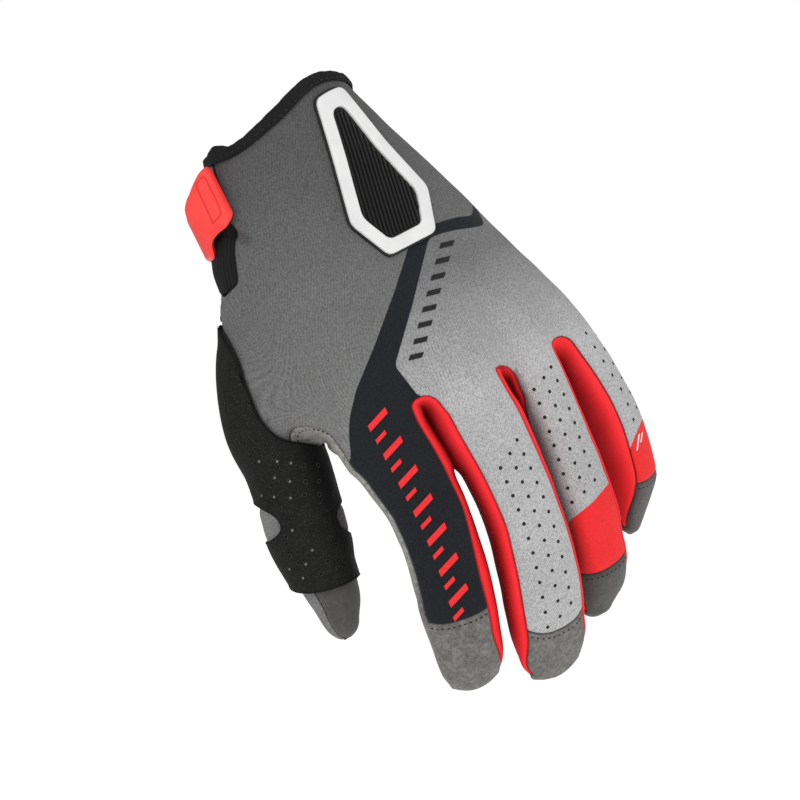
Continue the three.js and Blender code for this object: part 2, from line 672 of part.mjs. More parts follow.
// A point lifted off a surface that is given as a function of two values
const LIFT_STEP = 0.5;
function liftedPoint(surface, a, b, lift) {
  const point = surface(a, b);
  const alongA = surface(a + LIFT_STEP, b).sub(surface(a - LIFT_STEP, b));
  const alongB = surface(a, b + LIFT_STEP).sub(surface(a, b - LIFT_STEP));
  const normal = alongA.cross(alongB).normalize();
  return point.addScaledVector(normal, lift);
}

const onHand = (angle, along, lift) => liftedPoint(handPoint, angle, along, lift);
const onThumb = (angle, along, lift) => {
  const surface = (a, s) => digitPoint(DIGITS.thumb, s, a);
  return liftedPoint(surface, angle, along, lift);
};

// The black patch round the thumb, from its seam loop down. Its long edges are angles, each with a scallop.
const PATCH = { start: 0.045, bottom: 143, dip: 2.4, outer: 205, inner: -18, edgeGap: 0.55, thick: 0.95 };
const SCALLOP_ROUND = 0.8;
const OUTER_SCALLOP = { along: 117, half: 6.2, depth: 64 };
const INNER_SCALLOP = { along: 126, half: 4.8, depth: 48 };
const PATCH_BASE_ROWS = [0, 0.2, 0.4, 0.6, 0.8, 1];
const PATCH_ROWS = [0.12, 0.16, 0.2, 0.25, 0.31, 0.36, 0.4, 0.45, 0.52, 0.6, 0.68, 0.83, 1];
const PATCH_QUADS = 10;
function scallop(edge, along) {
  const t = (along - edge.along) / edge.half;
  return Math.abs(t) < 1 ? edge.depth * Math.cos((t * Math.PI) / 2) ** SCALLOP_ROUND : 0;
}

function patchPoint(row, u) {
  const lift = PATCH.edgeGap + PATCH.thick;
  const plain = mix(PATCH.outer, PATCH.inner, u);
  if (row.base !== undefined) {
    const start = mix(seamAlong(plain), THUMB_FULL, PATCH.start);
    return onThumb(plain, mix(start, THUMB_FULL, row.base), lift);
  }
  const bottom = PATCH.bottom + PATCH.dip * Math.sin(Math.PI * u);
  const along = mix(THUMB_FULL, bottom, row.share);
  const fromOuter = scallop(OUTER_SCALLOP, along) * (1 - u) ** 2;
  const fromInner = scallop(INNER_SCALLOP, along) * u ** 2;
  return onThumb(plain - fromOuter + fromInner, along, lift);
}

function thumbPatch() {
  const rows = [...PATCH_BASE_ROWS.map((base) => ({ base })), ...PATCH_ROWS.map((share) => ({ share }))];
  return plateMesh(gridOf(rows, steps(PATCH_QUADS), patchPoint), PATCH.thick);
}

// The binding folded over the cloth's top edge, higher where the elastic of the gusset is gathered
const BINDING = { gap: 0.5, wall: 0.9, over: 2.4, above: 1.5, round: 0.7, facets: 40 };
const GATHER = { rise: 2, angle: 168, half: 9 };
function cuffBinding() {
  const { gap, wall, over, above, round } = BINDING;
  const [outside, inside] = [gap + wall, -CLOTH - gap - wall];
  const section = (share) => {
    const angle = 360 * share;
    const base = handPoint(angle, 0);
    const outward = onHand(angle, 0, 1).sub(base);
    const up = base.clone().sub(handPoint(angle, 2)).normalize();
    const top = above + GATHER.rise * Math.exp(-(((angle - GATHER.angle) / GATHER.half) ** 2));
    const corner = (side, rise) => base.clone().addScaledVector(outward, side).addScaledVector(up, rise);
    return [
      corner(outside, -over),
      corner(outside, top - round),
      corner(outside - round, top),
      corner(inside + round, top),
      corner(inside, top - round),
      corner(inside, -over),
      corner(inside + wall, -over),
      corner(inside + wall, gap),
      corner(gap, gap),
      corner(gap, -over),
    ];
  };
  return bandMesh(BINDING.facets, section);
}

// The strap round the palm side of the wrist and the rubber tab at its end
const STRAP = [
  { angle: 243, top: 14, bottom: 31 },
  { angle: 290, top: 11, bottom: 29 },
  { angle: 335, top: 8, bottom: 26.5 },
  { angle: 352, top: 9, bottom: 25.5 },
];
const STRAP_THICK = 1.8;
const STRAP_QUADS = 12;
const STRAP_ROWS = 4;
function strapPlate() {
  const at = (v, u) => {
    const angle = mix(STRAP[0].angle, STRAP[STRAP.length - 1].angle, u);
    const along = mix(readTable(STRAP, "angle", "top", angle), readTable(STRAP, "angle", "bottom", angle), v);
    return onHand(angle, along, LAYER_GAP + STRAP_THICK);
  };
  return plateMesh(gridOf(steps(STRAP_ROWS), steps(STRAP_QUADS), at), STRAP_THICK);
}

// Lines across the tab from its free edge to the strap: their two ends and their share of the loop's rise
const TAB = [
  { topAngle: 167, top: 8, bottomAngle: 157, bottom: 16, standsOff: 0 },
  { topAngle: 170, top: 4.2, bottomAngle: 156.5, bottom: 19, standsOff: 0.02 },
  { topAngle: 174, top: 3.2, bottomAngle: 160, bottom: 22, standsOff: 0.1 },
  { topAngle: 180, top: 3.4, bottomAngle: 166.5, bottom: 25.6, standsOff: 0.3 },
  { topAngle: 186, top: 5.2, bottomAngle: 175, bottom: 29.5, standsOff: 0.6 },
  { topAngle: 194, top: 8, bottomAngle: 187, bottom: 32, standsOff: 0.9 },
  { topAngle: 203, top: 12, bottomAngle: 199, bottom: 32, standsOff: 1 },
  { topAngle: 215, top: 14.2, bottomAngle: 213, bottom: 31.5, standsOff: 0.9 },
  { topAngle: 228, top: 14.4, bottomAngle: 227, bottom: 31.2, standsOff: 0.45 },
  { topAngle: 241, top: 14, bottomAngle: 241, bottom: 31, standsOff: 0 },
];
const TAB_THICK = 1.8;
const TAB_LOOP = { rise: 7.6, along: 11, half: 17, falloff: 1.5 };
const TAB_ROWS = 6;
function pullTab() {
  const at = (v, line) => {
    const along = mix(line.top, line.bottom, v);
    const angle = mix(line.topAngle, line.bottomAngle, v);
    const fromMiddle = Math.min(1, Math.abs(along - TAB_LOOP.along) / TAB_LOOP.half);
    const rise = line.standsOff * TAB_LOOP.rise * (1 - fromMiddle ** TAB_LOOP.falloff);
    return onHand(angle, along, LAYER_GAP + TAB_THICK + rise);
  };
  return plateMesh(gridOf(steps(TAB_ROWS), TAB, at), TAB_THICK);
}

// The guard on the back of the wrist: a rim with cut corners round a ribbed insert, bent to the hand
const GUARD = { x: 12.6, along: 29.5, tilt: 2.5, gap: 0.5, bevel: 0.5 };
const GUARD_RIM = { high: 1.6, wide: 4.6 };
const GUARD_INSERT = { high: 0.8, rings: [1, 0.66, 0.33, 0] };
const GUARD_CORNERS = [
  { across: -6.5, down: -27 },
  { across: 6.5, down: -27 },
  { across: 16.8, down: 12 },
  { across: 10, down: 27 },
  { across: -10, down: 27 },
  { across: -16.8, down: 12 },
];
const CORNER_CUT = 2.2;
const EDGE_POINTS = 4;

// The outline drawn in by inset, each corner cut, so that offset outlines have matching points
function guardOutline(inset) {
  const count = GUARD_CORNERS.length;
  const at = (i) => new THREE.Vector2(GUARD_CORNERS[i % count].across, GUARD_CORNERS[i % count].down);
  const inward = (i) => {
    const edge = at(i + 1).sub(at(i)).normalize();
    return new THREE.Vector2(-edge.y, edge.x);
  };
  const corners = GUARD_CORNERS.map((_, i) => {
    const [a, b] = [inward((i + count - 1) % count), inward(i)];
    return at(i).addScaledVector(a.clone().add(b), inset / (1 + a.dot(b)));
  });
  const outline = [];
  corners.forEach((corner, i) => {
    const [before, after] = [corners[(i + count - 1) % count], corners[(i + 1) % count]];
    const start = corner.clone().add(before.clone().sub(corner).setLength(CORNER_CUT));
    const end = corner.clone().add(after.clone().sub(corner).setLength(CORNER_CUT));
    const nextStart = after.clone().add(corner.clone().sub(after).setLength(CORNER_CUT));
    outline.push(start);
    for (let k = 0; k < EDGE_POINTS; k += 1) outline.push(end.clone().lerp(nextStart, k / EDGE_POINTS));
  });
  return outline;
}

// A point over the back of the hand: the angle is found where the section reaches the wanted x
const BACK_ANGLES = [20, 160];
function onBack(across, down, lift) {
  const tilt = rad(GUARD.tilt);
  const x = GUARD.x + across * Math.cos(tilt) + down * Math.sin(tilt);
  const along = GUARD.along + down * Math.cos(tilt) - across * Math.sin(tilt);
  let [low, high] = BACK_ANGLES;
  for (let i = 0; i < HALVINGS; i += 1) {
    const middle = (low + high) / 2;
    if (handPoint(middle, along).x > x) low = middle;
    else high = middle;
  }
  return onHand(low, along, lift);
}

function guardFrame() {
  const high = GUARD.gap + GUARD_RIM.high;
  const profile = [
    { inset: 0, lift: GUARD.gap },
    { inset: 0, lift: high - GUARD.bevel },
    { inset: GUARD.bevel, lift: high },
    { inset: GUARD_RIM.wide - GUARD.bevel, lift: high },
    { inset: GUARD_RIM.wide, lift: high - GUARD.bevel },
    { inset: GUARD_RIM.wide, lift: GUARD.gap },
  ];
  const outlines = profile.map(({ inset }) => guardOutline(inset));
  const count = outlines[0].length;
  return bandMesh(count, (share) => {
    const i = Math.round(share * count);
    return profile.map(({ lift }, j) => onBack(outlines[j][i].x, outlines[j][i].y, lift));
  });
}

function guardInsert() {
  const outline = guardOutline(GUARD_RIM.wide + SEAM_GAP).reverse();
  const high = GUARD.gap + GUARD_INSERT.high;
  const rows = gridOf(GUARD_INSERT.rings, outline, (share, p) => onBack(p.x * share, p.y * share, high));
  return plateMesh(rows, GUARD_INSERT.high, true);
}

const glove = new THREE.Group();
function addMesh(name, geometry, look) {
  const mesh = new THREE.Mesh(geometry, new THREE.MeshStandardMaterial(look));
  mesh.name = name;
  glove.add(mesh);
}

const LOOKS = {
  back_panel: { color: 0x6a6a6a, roughness: 0.85, metalness: 0 },
  palm_panel: { color: 0x77756f, roughness: 0.95, metalness: 0 },
  fourchette_index_middle: { color: 0xd8202a, roughness: 0.75, metalness: 0 },
  fourchette_middle_ring: { color: 0xd8202a, roughness: 0.75, metalness: 0 },
  fourchette_ring_little: { color: 0xd8202a, roughness: 0.75, metalness: 0 },
  thumb_back: { color: 0x6e6e6e, roughness: 0.85, metalness: 0 },
  thumb_front: { color: 0x77756f, roughness: 0.95, metalness: 0 },
  wrist_gusset: { color: 0x151515, roughness: 0.8, metalness: 0 },
};

const sheet = joinSkin(skin);
for (const [name, look] of Object.entries(LOOKS)) addMesh(name, wallMesh(sheet, name, 0, CLOTH), look);
addMesh("thumb_overlay", thumbPatch(), { color: 0x23231f, roughness: 0.7, metalness: 0 });
addMesh("cuff_binding", cuffBinding(), { color: 0x141414, roughness: 0.9, metalness: 0 });
addMesh("wrist_strap", strapPlate(), { color: 0x1b1b1b, roughness: 0.85, metalness: 0 });
addMesh("pull_tab", pullTab(), { color: 0xff5048, roughness: 0.5, metalness: 0 });
addMesh("guard_frame", guardFrame(), { color: 0xf2f2f2, roughness: 0.45, metalness: 0 });
addMesh("guard_insert", guardInsert(), { color: 0x101010, roughness: 0.6, metalness: 0 });

export default glove;
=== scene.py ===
import math

import bpy
import numpy as np
from mathutils import Matrix, Vector, noise
from mathutils.bvhtree import BVHTree
from mathutils.kdtree import KDTree


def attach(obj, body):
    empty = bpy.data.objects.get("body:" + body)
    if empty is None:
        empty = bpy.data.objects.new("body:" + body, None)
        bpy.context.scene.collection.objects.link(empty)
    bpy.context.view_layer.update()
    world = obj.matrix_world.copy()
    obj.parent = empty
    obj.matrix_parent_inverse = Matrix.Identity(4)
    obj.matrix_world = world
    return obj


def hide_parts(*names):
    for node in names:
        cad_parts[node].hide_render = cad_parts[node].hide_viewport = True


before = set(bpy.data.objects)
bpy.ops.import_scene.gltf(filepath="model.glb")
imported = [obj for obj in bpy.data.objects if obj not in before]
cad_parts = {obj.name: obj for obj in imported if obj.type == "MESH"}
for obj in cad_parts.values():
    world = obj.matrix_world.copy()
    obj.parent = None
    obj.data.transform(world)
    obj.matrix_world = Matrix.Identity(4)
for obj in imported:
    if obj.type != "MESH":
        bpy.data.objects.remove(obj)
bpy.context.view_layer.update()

# The glove in its worn form, in millimetres until a piece is placed.
# The fingers point down, the back of the hand faces -Y and the thumb is on the -X side.
MM = 0.001
CLOTH_THICK = 1.2


def table(columns, rows):
    """A table of named columns."""
    values = np.array(rows, float)
    return {name: values[:, i] for i, name in enumerate(columns.split())}


# The hand from the wrist opening to the knuckles, as oval sections
HAND = table("along x y wide back palm turn square", [
    (-12, 1, 0, 26.1, 22.5, 22.5, 0, 2.1),
    (0, 0.9, 0, 26.9, 22.5, 22.5, 0, 2.1),
    (12, 0.8, -1, 32, 21.8, 21.5, 1, 2.15),
    (24, -0.2, -2, 38.6, 21, 20.5, 2, 2.2),
    (46, 1.2, -4, 47.3, 20, 19.5, 4, 2.25),
    (66, 9.8, -5.5, 46.5, 19.5, 17, 7, 2.3),
    (88, 17.4, -6.5, 48, 19, 13, 10, 2.4),
])
RIM = table("angle along", [
    (0, 0), (40, -4.6), (75, -6.1), (110, -0.2), (145, 3.1),
    (180, 1.9), (235, 2), (290, 1.6), (330, 1.2), (360, 0),
])
RIM_REACH = 22

STATION = "along x y wide deep"
DIGITS = {
    "thumb": dict(
        roll=-30, slant=0, square=2.1, crown=0, root=None, tip=None,
        stations=table(STATION, [
            (46, -31, 3, 9.4, 12.4), (58, -36, 7, 9.6, 12.6), (72, -40.2, 12, 11.4, 12.4),
            (88, -42.9, 17, 12, 12), (102, -41.8, 20, 11.8, 11.5), (117, -43, 23, 11.6, 11.5),
            (126, -43.9, 25, 11.5, 11.3), (138, -44, 26.5, 10.1, 10), (149, -43.9, 28, 8.4, 8.5),
            (156, -45.1, 28.5, 6.5, 6.6), (159.6, -45.5, 28.8, 5.2, 5.3), (161.8, -45.8, 29, 3.4, 3.5),
            (162.9, -45.9, 29.1, 1.6, 1.6),
        ])),
    "index": dict(
        roll=-25, slant=5, square=2.5, crown=3.4, root=107, tip=196.5, cap=169.5, bow=1,
        ulnar=33, ulnar_low=48, radial=150, radial_root=152,
        stations=table(STATION, [
            (84, -18.5, -10.8, 15, 11.2), (107, -19.3, -10, 14.7, 10.8), (120, -17.6, -9.5, 14, 10.5),
            (134, -16, -8.5, 12.9, 10.5), (150, -16.4, -5.5, 12.8, 10), (165, -17.9, -1.5, 13, 9.6),
            (180, -18.6, 4, 11.6, 8.6), (190, -19.4, 8, 10.3, 5.8), (196.5, -19.6, 10.5, 8.2, 2),
        ])),
    "middle": dict(
        roll=0, slant=5, square=2.5, crown=3.4, root=109, tip=205, cap=186.3, bow=3.2,
        ulnar=47, ulnar_low=39, radial=144, radial_root=144,
        stations=table(STATION, [
            (84, 9.8, -18.5, 14, 11.2), (109, 10, -18, 14.1, 10.8), (120, 10.7, -17.4, 14.2, 10.6),
            (134, 11.6, -16, 13.4, 10.6), (150, 12.1, -13, 13, 10.2), (165, 10.9, -9, 13.4, 9.8),
            (180, 9.4, -3.5, 13.8, 9), (193, 8.2, 2, 13.2, 6.8), (205, 6.4, 6.5, 9.2, 2),
        ])),
    "ring": dict(
        roll=12, slant=5, square=2.5, crown=3.2, root=111, tip=195, cap=176.9, bow=1.6,
        ulnar=50, ulnar_low=50, radial=166, radial_root=140,
        stations=table(STATION, [
            (84, 36.3, -12, 12.6, 11), (111, 37.4, -10.5, 11.5, 10.6), (122, 37.8, -9.2, 11.4, 10.4),
            (134, 37.8, -7.4, 11.7, 10.3), (148, 38.2, -4, 12.3, 10), (163, 38.6, 1, 12.2, 9.6),
            (176, 38.2, 7, 11.8, 8.6), (186, 37.8, 11.8, 10.6, 6), (195, 36.6, 15.6, 7.4, 2),
        ])),
    "little": dict(
        roll=33, slant=4, square=2.4, crown=3, root=109, tip=174.5, cap=157.4, bow=1.2,
        ulnar=25, ulnar_low=25, radial=130, radial_root=132,
        stations=table(STATION, [
            (84, 55.5, -2, 11.6, 10.6), (109, 61.2, 0.6, 10.9, 10), (122, 64.2, 2.4, 10.8, 9.9),
            (134, 66.2, 4.6, 10.7, 9.8), (146, 67, 8.6, 10.6, 9.6), (156, 67.2, 13.2, 10.8, 8.9),
            (166, 66.6, 18.4, 9.6, 6.2), (174.5, 65.2, 22.4, 6.4, 2),
        ])),
}
PALM_CORNER = 25
TIP_CORNER = 12
SLANT_FADE = 34
TIP_NARROWS = 22
ROOT_BLENDS = 16
BOW_MIDDLE = 0.6
# Where the angle of a finger's outer seam has reached its lower value
LOW_FROM = 136
LOW_REACH = 26

# The slanting loop along which the thumb is sewn in
THUMB_TOP = 57
THUMB_CROTCH = 101
THUMB_SEAM = table("angle along", [
    (0, 101), (22, 100), (45, 96.8), (70, 92.2), (85, 87.4), (97, 80.5),
    (106, 73), (116, 66.8), (135, 61.8), (158, 58.4), (180, 57),
])
THUMB_FULL = 106
THUMB_LAST = 162.9
THUMB_POLE = 163.1
SEAM_CORNER = 60
THUMB_FRONT_FROM = 122
THUMB_FRONT_TO = -104

# Columns across the hand: name, edges at the wrist and at the knuckles, and the palm's own edges
COLUMNS = {
    "little": ((0, 33), (0, 45), (0, 33), (0, 45)),
    "web_ring_little": ((33, 40), (45, 55), (33, 40), (45, 55)),
    "ring": ((40, 64), (55, 79), (40, 64), (55, 79)),
    "web_middle_ring": ((64, 70), (79, 85), (64, 70), (79, 85)),
    "middle": ((70, 96), (85, 108), (70, 96), (85, 108)),
    "web_index_middle": ((96, 104), (108, 118), (96, 104), (108, 118)),
    "index": ((104, 140), (118, 162), (104, 128), (118, 134)),
}
WEBS = {
    "web_index_middle": (("middle", "index"), 13, 9),
    "web_middle_ring": (("ring", "middle"), 8, 5),
    "web_ring_little": (("little", "ring"), 13, 8),
}
KNUCKLE_ROW = 74
GUSSET_END = 43
GUSSET_EDGE = table("along angle", [
    (-12, 179), (0, 178.6), (7, 176), (12, 170.9), (19, 164), (22.5, 159), (25, 154.6), (28.5, 153.7),
    (34, 156.8), (38.5, 157.8), (41.2, 159.2), (42.4, 160.8), (43, 164), (43.3, 180),
])
THUMB_WEB_RISE = (26, 16)

# How finely the cloth is laid out
ACROSS_FINGER = 26
ACROSS_SIDE = 12
ACROSS_WEB = 8
ACROSS_THUMB_WEB = 46
HAND_ROWS = 70
KNUCKLE_ROWS = 26
FINGER_ROWS = 72
CAP_ROWS = 28
THUMB_BASE_ROWS = 34
THUMB_ROWS = 54
# Rows at a finger's very tip whose sides are suede
TIP_ROWS = 2
# Where the cloth starts to settle smooth, and its reach: on the hand, and beside the thumb
HAND_SETTLES = (52, 22)
THUMB_WEB_SETTLES = (44, 16)
FINGER_SETTLES = 0.8
OUTER_SETTLES = 0.9
SETTLE_ROUNDS = 30
LAST_ROUNDS = 10
LAST_SHARE = 0.6


def smooth(t):
    """A share from 0 to 1, eased at both ends."""
    t = np.clip(t, 0, 1)
    return t * t * (3 - 2 * t)


def ramp(value, start, reach):
    """0 up to a start, 1 beyond its reach and smooth between them."""
    return smooth((value - start) / reach)


def fade(distance, width):
    """1 at no distance, falling softly to 0 beyond a width."""
    return np.exp(-(distance / width) ** 2)


def mix(a, b, t):
    return a + (b - a) * t


def unit(v):
    return v / np.maximum(np.linalg.norm(v, axis=-1, keepdims=True), 1e-9)


def same_shape(*values):
    """Values as arrays of one shape."""
    return np.broadcast_arrays(*(np.asarray(v, float) for v in values))


def cubic(start, start_slope, end, end_slope, t):
    return ((2 * t**3 - 3 * t**2 + 1) * start + (t**3 - 2 * t**2 + t) * start_slope
            + (3 * t**2 - 2 * t**3) * end + (t**3 - t**2) * end_slope)


def curve(rows, key, name, at):
    """A smooth curve through a table's rows."""
    x, y = rows[key], rows[name]
    slope = np.empty_like(y)
    slope[1:-1] = (y[2:] - y[:-2]) / (x[2:] - x[:-2])
    slope[0] = (y[1] - y[0]) / (x[1] - x[0])
    slope[-1] = (y[-1] - y[-2]) / (x[-1] - x[-2])
    i = np.clip(np.searchsorted(x, at, side="left") - 1, 0, len(x) - 2)
    span = x[i + 1] - x[i]
    t = np.clip((at - x[i]) / span, 0, 1)
    return cubic(y[i], slope[i] * span, y[i + 1], slope[i + 1] * span, t)


def oval(degrees, square):
    """A point of an oval of half size 1: a circle where square is 2, and squarer above that."""
    c, s = np.cos(np.radians(degrees)), np.sin(np.radians(degrees))
    power = 2 / square
    return np.sign(c) * np.abs(c) ** power, np.sign(s) * np.abs(s) ** power


def hand_point(angle, along):
    """The outside of the hand: 0 degrees is the little finger's edge, 90 the back, 180 the thumb's."""
    angle, along = same_shape(angle, along)
    read = {name: curve(HAND, "along", name, along) for name in HAND if name != "along"}
    c, s = oval(angle, read["square"])
    side = read["wide"] * c
    lift = np.where(s > 0, read["back"], read["palm"]) * s
    turn = np.radians(read["turn"])
    x = read["x"] + side * np.cos(turn) + lift * np.sin(turn)
    y = read["y"] + side * np.sin(turn) - lift * np.cos(turn)
    toward_rim = np.clip(1 - np.maximum(0, along) / RIM_REACH, 0, 1)
    z = -(along + curve(RIM, "angle", "along", angle % 360) * toward_rim)
    return np.stack([x, y, z], -1)


def digit_frame(digit, along):
    """A digit's centre at one station, and its directions down, to the little finger and to its back."""
    along = np.asarray(along, float)
    stations = digit["stations"]

    def centre_at(where):
        x = curve(stations, "along", "x", where)
        y = curve(stations, "along", "y", where)
        return np.stack([x, y, -where], -1)

    down = unit(centre_at(along + 2) - centre_at(along - 2))
    roll = math.radians(digit["roll"])
    across = np.array([math.cos(roll), math.sin(roll), 0.0])
    across = unit(across - down * (down @ across)[..., None])
    lift = np.cross(down, across)
    return centre_at(along), down, across, lift


def digit_point(digit, along, angle, flat=0.0):
    """The outside of a digit at one station and angle, flattened to a line where flat is 1."""
    along, angle, flat = same_shape(along, angle, flat)
    centre, down, across, lift = digit_frame(digit, along)
    wide = curve(digit["stations"], "along", "wide", along)
    deep = curve(digit["stations"], "along", "deep", along)
    c, s = oval(angle, digit["square"])
    point = centre + across * (wide * c)[..., None] + lift * (deep * s * (1 - flat))[..., None]
    if digit["root"]:
        from_root = np.clip(1 - (along - digit["root"]) / SLANT_FADE, 0, 1)
        to_tip = np.clip(1 - (digit["tip"] - along) / TIP_NARROWS, 0, 1)
        slide = digit["slant"] * s * from_root + digit["crown"] * c * c * to_tip**2
        point = point - down * slide[..., None]
    return point


def seam_along(angle):
    """How far along the thumb's seam lies at an angle."""
    return curve(THUMB_SEAM, "angle", "along", np.minimum(180, np.abs(angle)))


SEAM_FINE = np.linspace(0, 180, 1801)
SEAM_FINE_ALONG = seam_along(SEAM_FINE)
SEAM_LAST = float(seam_along(SEAM_CORNER))


def seam_angle(along):
    """The angle on the thumb's seam loop at a distance along."""
    return np.interp(-np.asarray(along, float), -SEAM_FINE_ALONG, SEAM_FINE)


def corners(digit, along):
    """Corner angles of a digit's back, palm and two sides, drawing together towards the tip."""
    to_tip = smooth(1 - (digit["tip"] - along) / TIP_NARROWS)
    radial = mix(digit["radial_root"], digit["radial"], ramp(along, digit["root"], ROOT_BLENDS))
    ulnar = mix(digit["ulnar"], digit["ulnar_low"], ramp(along, LOW_FROM, LOW_REACH))
    back_ulnar = mix(ulnar, TIP_CORNER, to_tip**1.6)
    back_radial = mix(radial, 180 - TIP_CORNER, to_tip**1.6)
    palm_ulnar = mix(-PALM_CORNER, -TIP_CORNER, to_tip)
    palm_radial = mix(180 + PALM_CORNER, 180 + TIP_CORNER, to_tip)
    return back_ulnar, back_radial, palm_ulnar, palm_radial


def sector_angle(digit, sector, along, share):
    """The angle at a share of the way across one side of a digit."""
    back_ulnar, back_radial, palm_ulnar, palm_radial = corners(digit, along)
    ends = {
        "back": (back_ulnar, back_radial),
        "palm": (palm_ulnar, palm_radial - 360),
        "ulnar": (back_ulnar, palm_ulnar),
        "radial": (back_radial, palm_radial),
    }[sector]
    return mix(ends[0], ends[1], share)


def cap_bow(digit, share):
    """How far the cap's seam bows down at a share of the way across a finger."""
    return digit["bow"] * (np.sin(np.pi * share) - BOW_MIDDLE)


def digit_skin(digit, sector, step, share):
    """A point of a finger: step 0 is its root, 1 the cap's seam and 2 the tip."""
    step, share = same_shape(step, share)
    bow = cap_bow(digit, share if sector == "back" else 0 * share)
    tube = mix(digit["root"], digit["cap"] + bow * step**4, step)
    cap = mix(digit["cap"] + bow, digit["tip"], step - 1)
    along = np.where(step <= 1, tube, cap)
    at_tip = step >= 2
    if sector in ("ulnar", "radial"):
        share = np.where(at_tip, 0, share)
    angle = sector_angle(digit, sector, along, share)
    return digit_point(digit, along, angle, np.where(at_tip, 1.0, 0.0))


def column_angle(name, t, along, side):
    """The angle on the hand at a share of the way across a column. Side is 1 for the back."""
    wrist_back, knuckle_back, wrist_palm, knuckle_palm = COLUMNS[name]
    wrist, knuckle = (wrist_back, knuckle_back) if side > 0 else (wrist_palm, knuckle_palm)
    opened = smooth(along / KNUCKLE_ROW)
    return side * mix(mix(wrist[0], wrist[1], t), mix(knuckle[0], knuckle[1], t), opened)


def root_run(digit, start_angle, root_angle, share):
    """A smooth run from the knuckles, at one angle on the hand, into one angle of a finger's root."""
    end = digit_point(digit, digit["root"], root_angle)
    end_slope = digit_point(digit, digit["root"] + 2, root_angle) - end
    start = hand_point(start_angle, KNUCKLE_ROW)
    start_slope = start - hand_point(start_angle, KNUCKLE_ROW - 2)
    length = np.linalg.norm(start - end, axis=-1, keepdims=True) / 2
    return cubic(start, start_slope * length, end, end_slope * length, share[..., None])


def finger_column(name, t, along, share, side):
    """A finger's column on the hand: the hand's own surface, then the run into the finger's root."""
    digit = DIGITS[name]
    t, along, share = same_shape(t, along, share)
    on_hand = hand_point(column_angle(name, t, along, side), along)
    root_angle = sector_angle(digit, "back" if side > 0 else "palm", digit["root"] + 0 * t, t)
    run = root_run(digit, column_angle(name, t, KNUCKLE_ROW + 0 * t, side), root_angle, share)
    return np.where(share[..., None] == 0, on_hand, run)


def outer_side(t, share):
    """The hand's edge opening out into the little finger's outer side."""
    little = DIGITS["little"]
    t, share = same_shape(t, share)
    return root_run(little, 0 * t, sector_angle(little, "ulnar", little["root"], t), share)


def web_column(name, t, along, share, side):
    """The column between two fingers, running into the crotch between their roots."""
    (first, last), back_rise, palm_rise = WEBS[name]
    t, along, share = same_shape(t, along, share)
    on_hand = hand_point(column_angle(name, t, along, side), along)
    start = finger_column(first, 1 + 0 * t, along, share, side)
    end = finger_column(last, 0 * t, along, share, side)
    start_down = digit_frame(DIGITS[first], DIGITS[first]["root"])[1]
    end_down = digit_frame(DIGITS[last], DIGITS[last]["root"])[1]
    rise = back_rise if side > 0 else palm_rise
    lead = (share**2)[..., None]
    straight = (end - start) * (1 - lead)
    start_slope = straight - start_down * rise * lead
    end_slope = straight + end_down * rise * lead
    run = cubic(start, start_slope, end, end_slope, t[..., None])
    return np.where(share[..., None] == 0, on_hand, run)


def gusset_angle(along):
    return curve(GUSSET_EDGE, "along", "angle", along)


def thumb_edge(along, side):
    """The edge of the hand on the thumb's side: the gusset, a short free edge and then the thumb's seam."""
    thumb = DIGITS["thumb"]
    reach = THUMB_TOP - GUSSET_END
    start = hand_point(180, GUSSET_END)
    start_slope = (start - hand_point(180, GUSSET_END - 1)) * reach
    top = digit_point(thumb, THUMB_TOP, 180)
    top_slope = (digit_point(thumb, THUMB_TOP + 1, 180) - top) * reach
    t = np.clip((along - GUSSET_END) / reach, 0, 1)[..., None]
    between = cubic(start, start_slope, top, top_slope, t)
    on_gusset = hand_point(side * gusset_angle(along), along)
    low = np.maximum(along, THUMB_TOP)
    on_seam = digit_point(thumb, low, side * seam_angle(low))
    edge = np.where((along <= GUSSET_END)[..., None], on_gusset, between)
    return np.where((along > THUMB_TOP)[..., None], on_seam, edge)


def thumb_web(t, along, share, side):
    """The hand between the index finger's outer column and the thumb."""
    thumb, index = DIGITS["thumb"], DIGITS["index"]
    t, along, share = same_shape(t, along, share)
    start = finger_column("index", 1 + 0 * t, along, share, side)
    end = thumb_edge(along, side)
    reach = np.linalg.norm(end - start, axis=-1, keepdims=True)
    start_slope = unit(start - finger_column("index", 0.9 + 0 * t, along, share, side)) * reach
    low = np.maximum(along, THUMB_TOP)
    edge_angle = np.where(along > THUMB_TOP, seam_angle(low), 180)
    past = digit_point(thumb, low, side * (edge_angle + 4)) - digit_point(thumb, low, side * edge_angle)
    end_slope = unit(past) * reach * 0.8
    lead = (share**3)[..., None]
    rise = THUMB_WEB_RISE[0] if side > 0 else THUMB_WEB_RISE[1]
    start_down = digit_frame(index, index["root"])[1]
    end_down = digit_frame(thumb, THUMB_CROTCH)[1]
    start_slope = start_slope * (1 - lead) - start_down * rise * lead
    end_slope = end_slope * (1 - lead) + end_down * rise * lead
    run = cubic(start, start_slope, end, end_slope, t[..., None])
    angle = mix(column_angle("index", 1, along, side), side * gusset_angle(along), t)
    return np.where((along <= GUSSET_END)[..., None], hand_point(angle, along), run)


# The cloth, laid out in grids that are welded into one skin
skin_parts = []
thread_ends = {}


def shares(count, pinch=0.35):
    """Shares from 0 to 1, closer together at both ends, where the seams are."""
    u = np.linspace(0, 1, count + 1)
    return u - pinch * np.sin(2 * np.pi * u) / (2 * np.pi)


def primitive(kind, **settings):
    """A new mesh primitive, selected alone."""
    bpy.ops.object.select_all(action="DESELECT")
    getattr(bpy.ops.mesh, f"primitive_{kind}_add")(**settings)
    return bpy.context.active_object


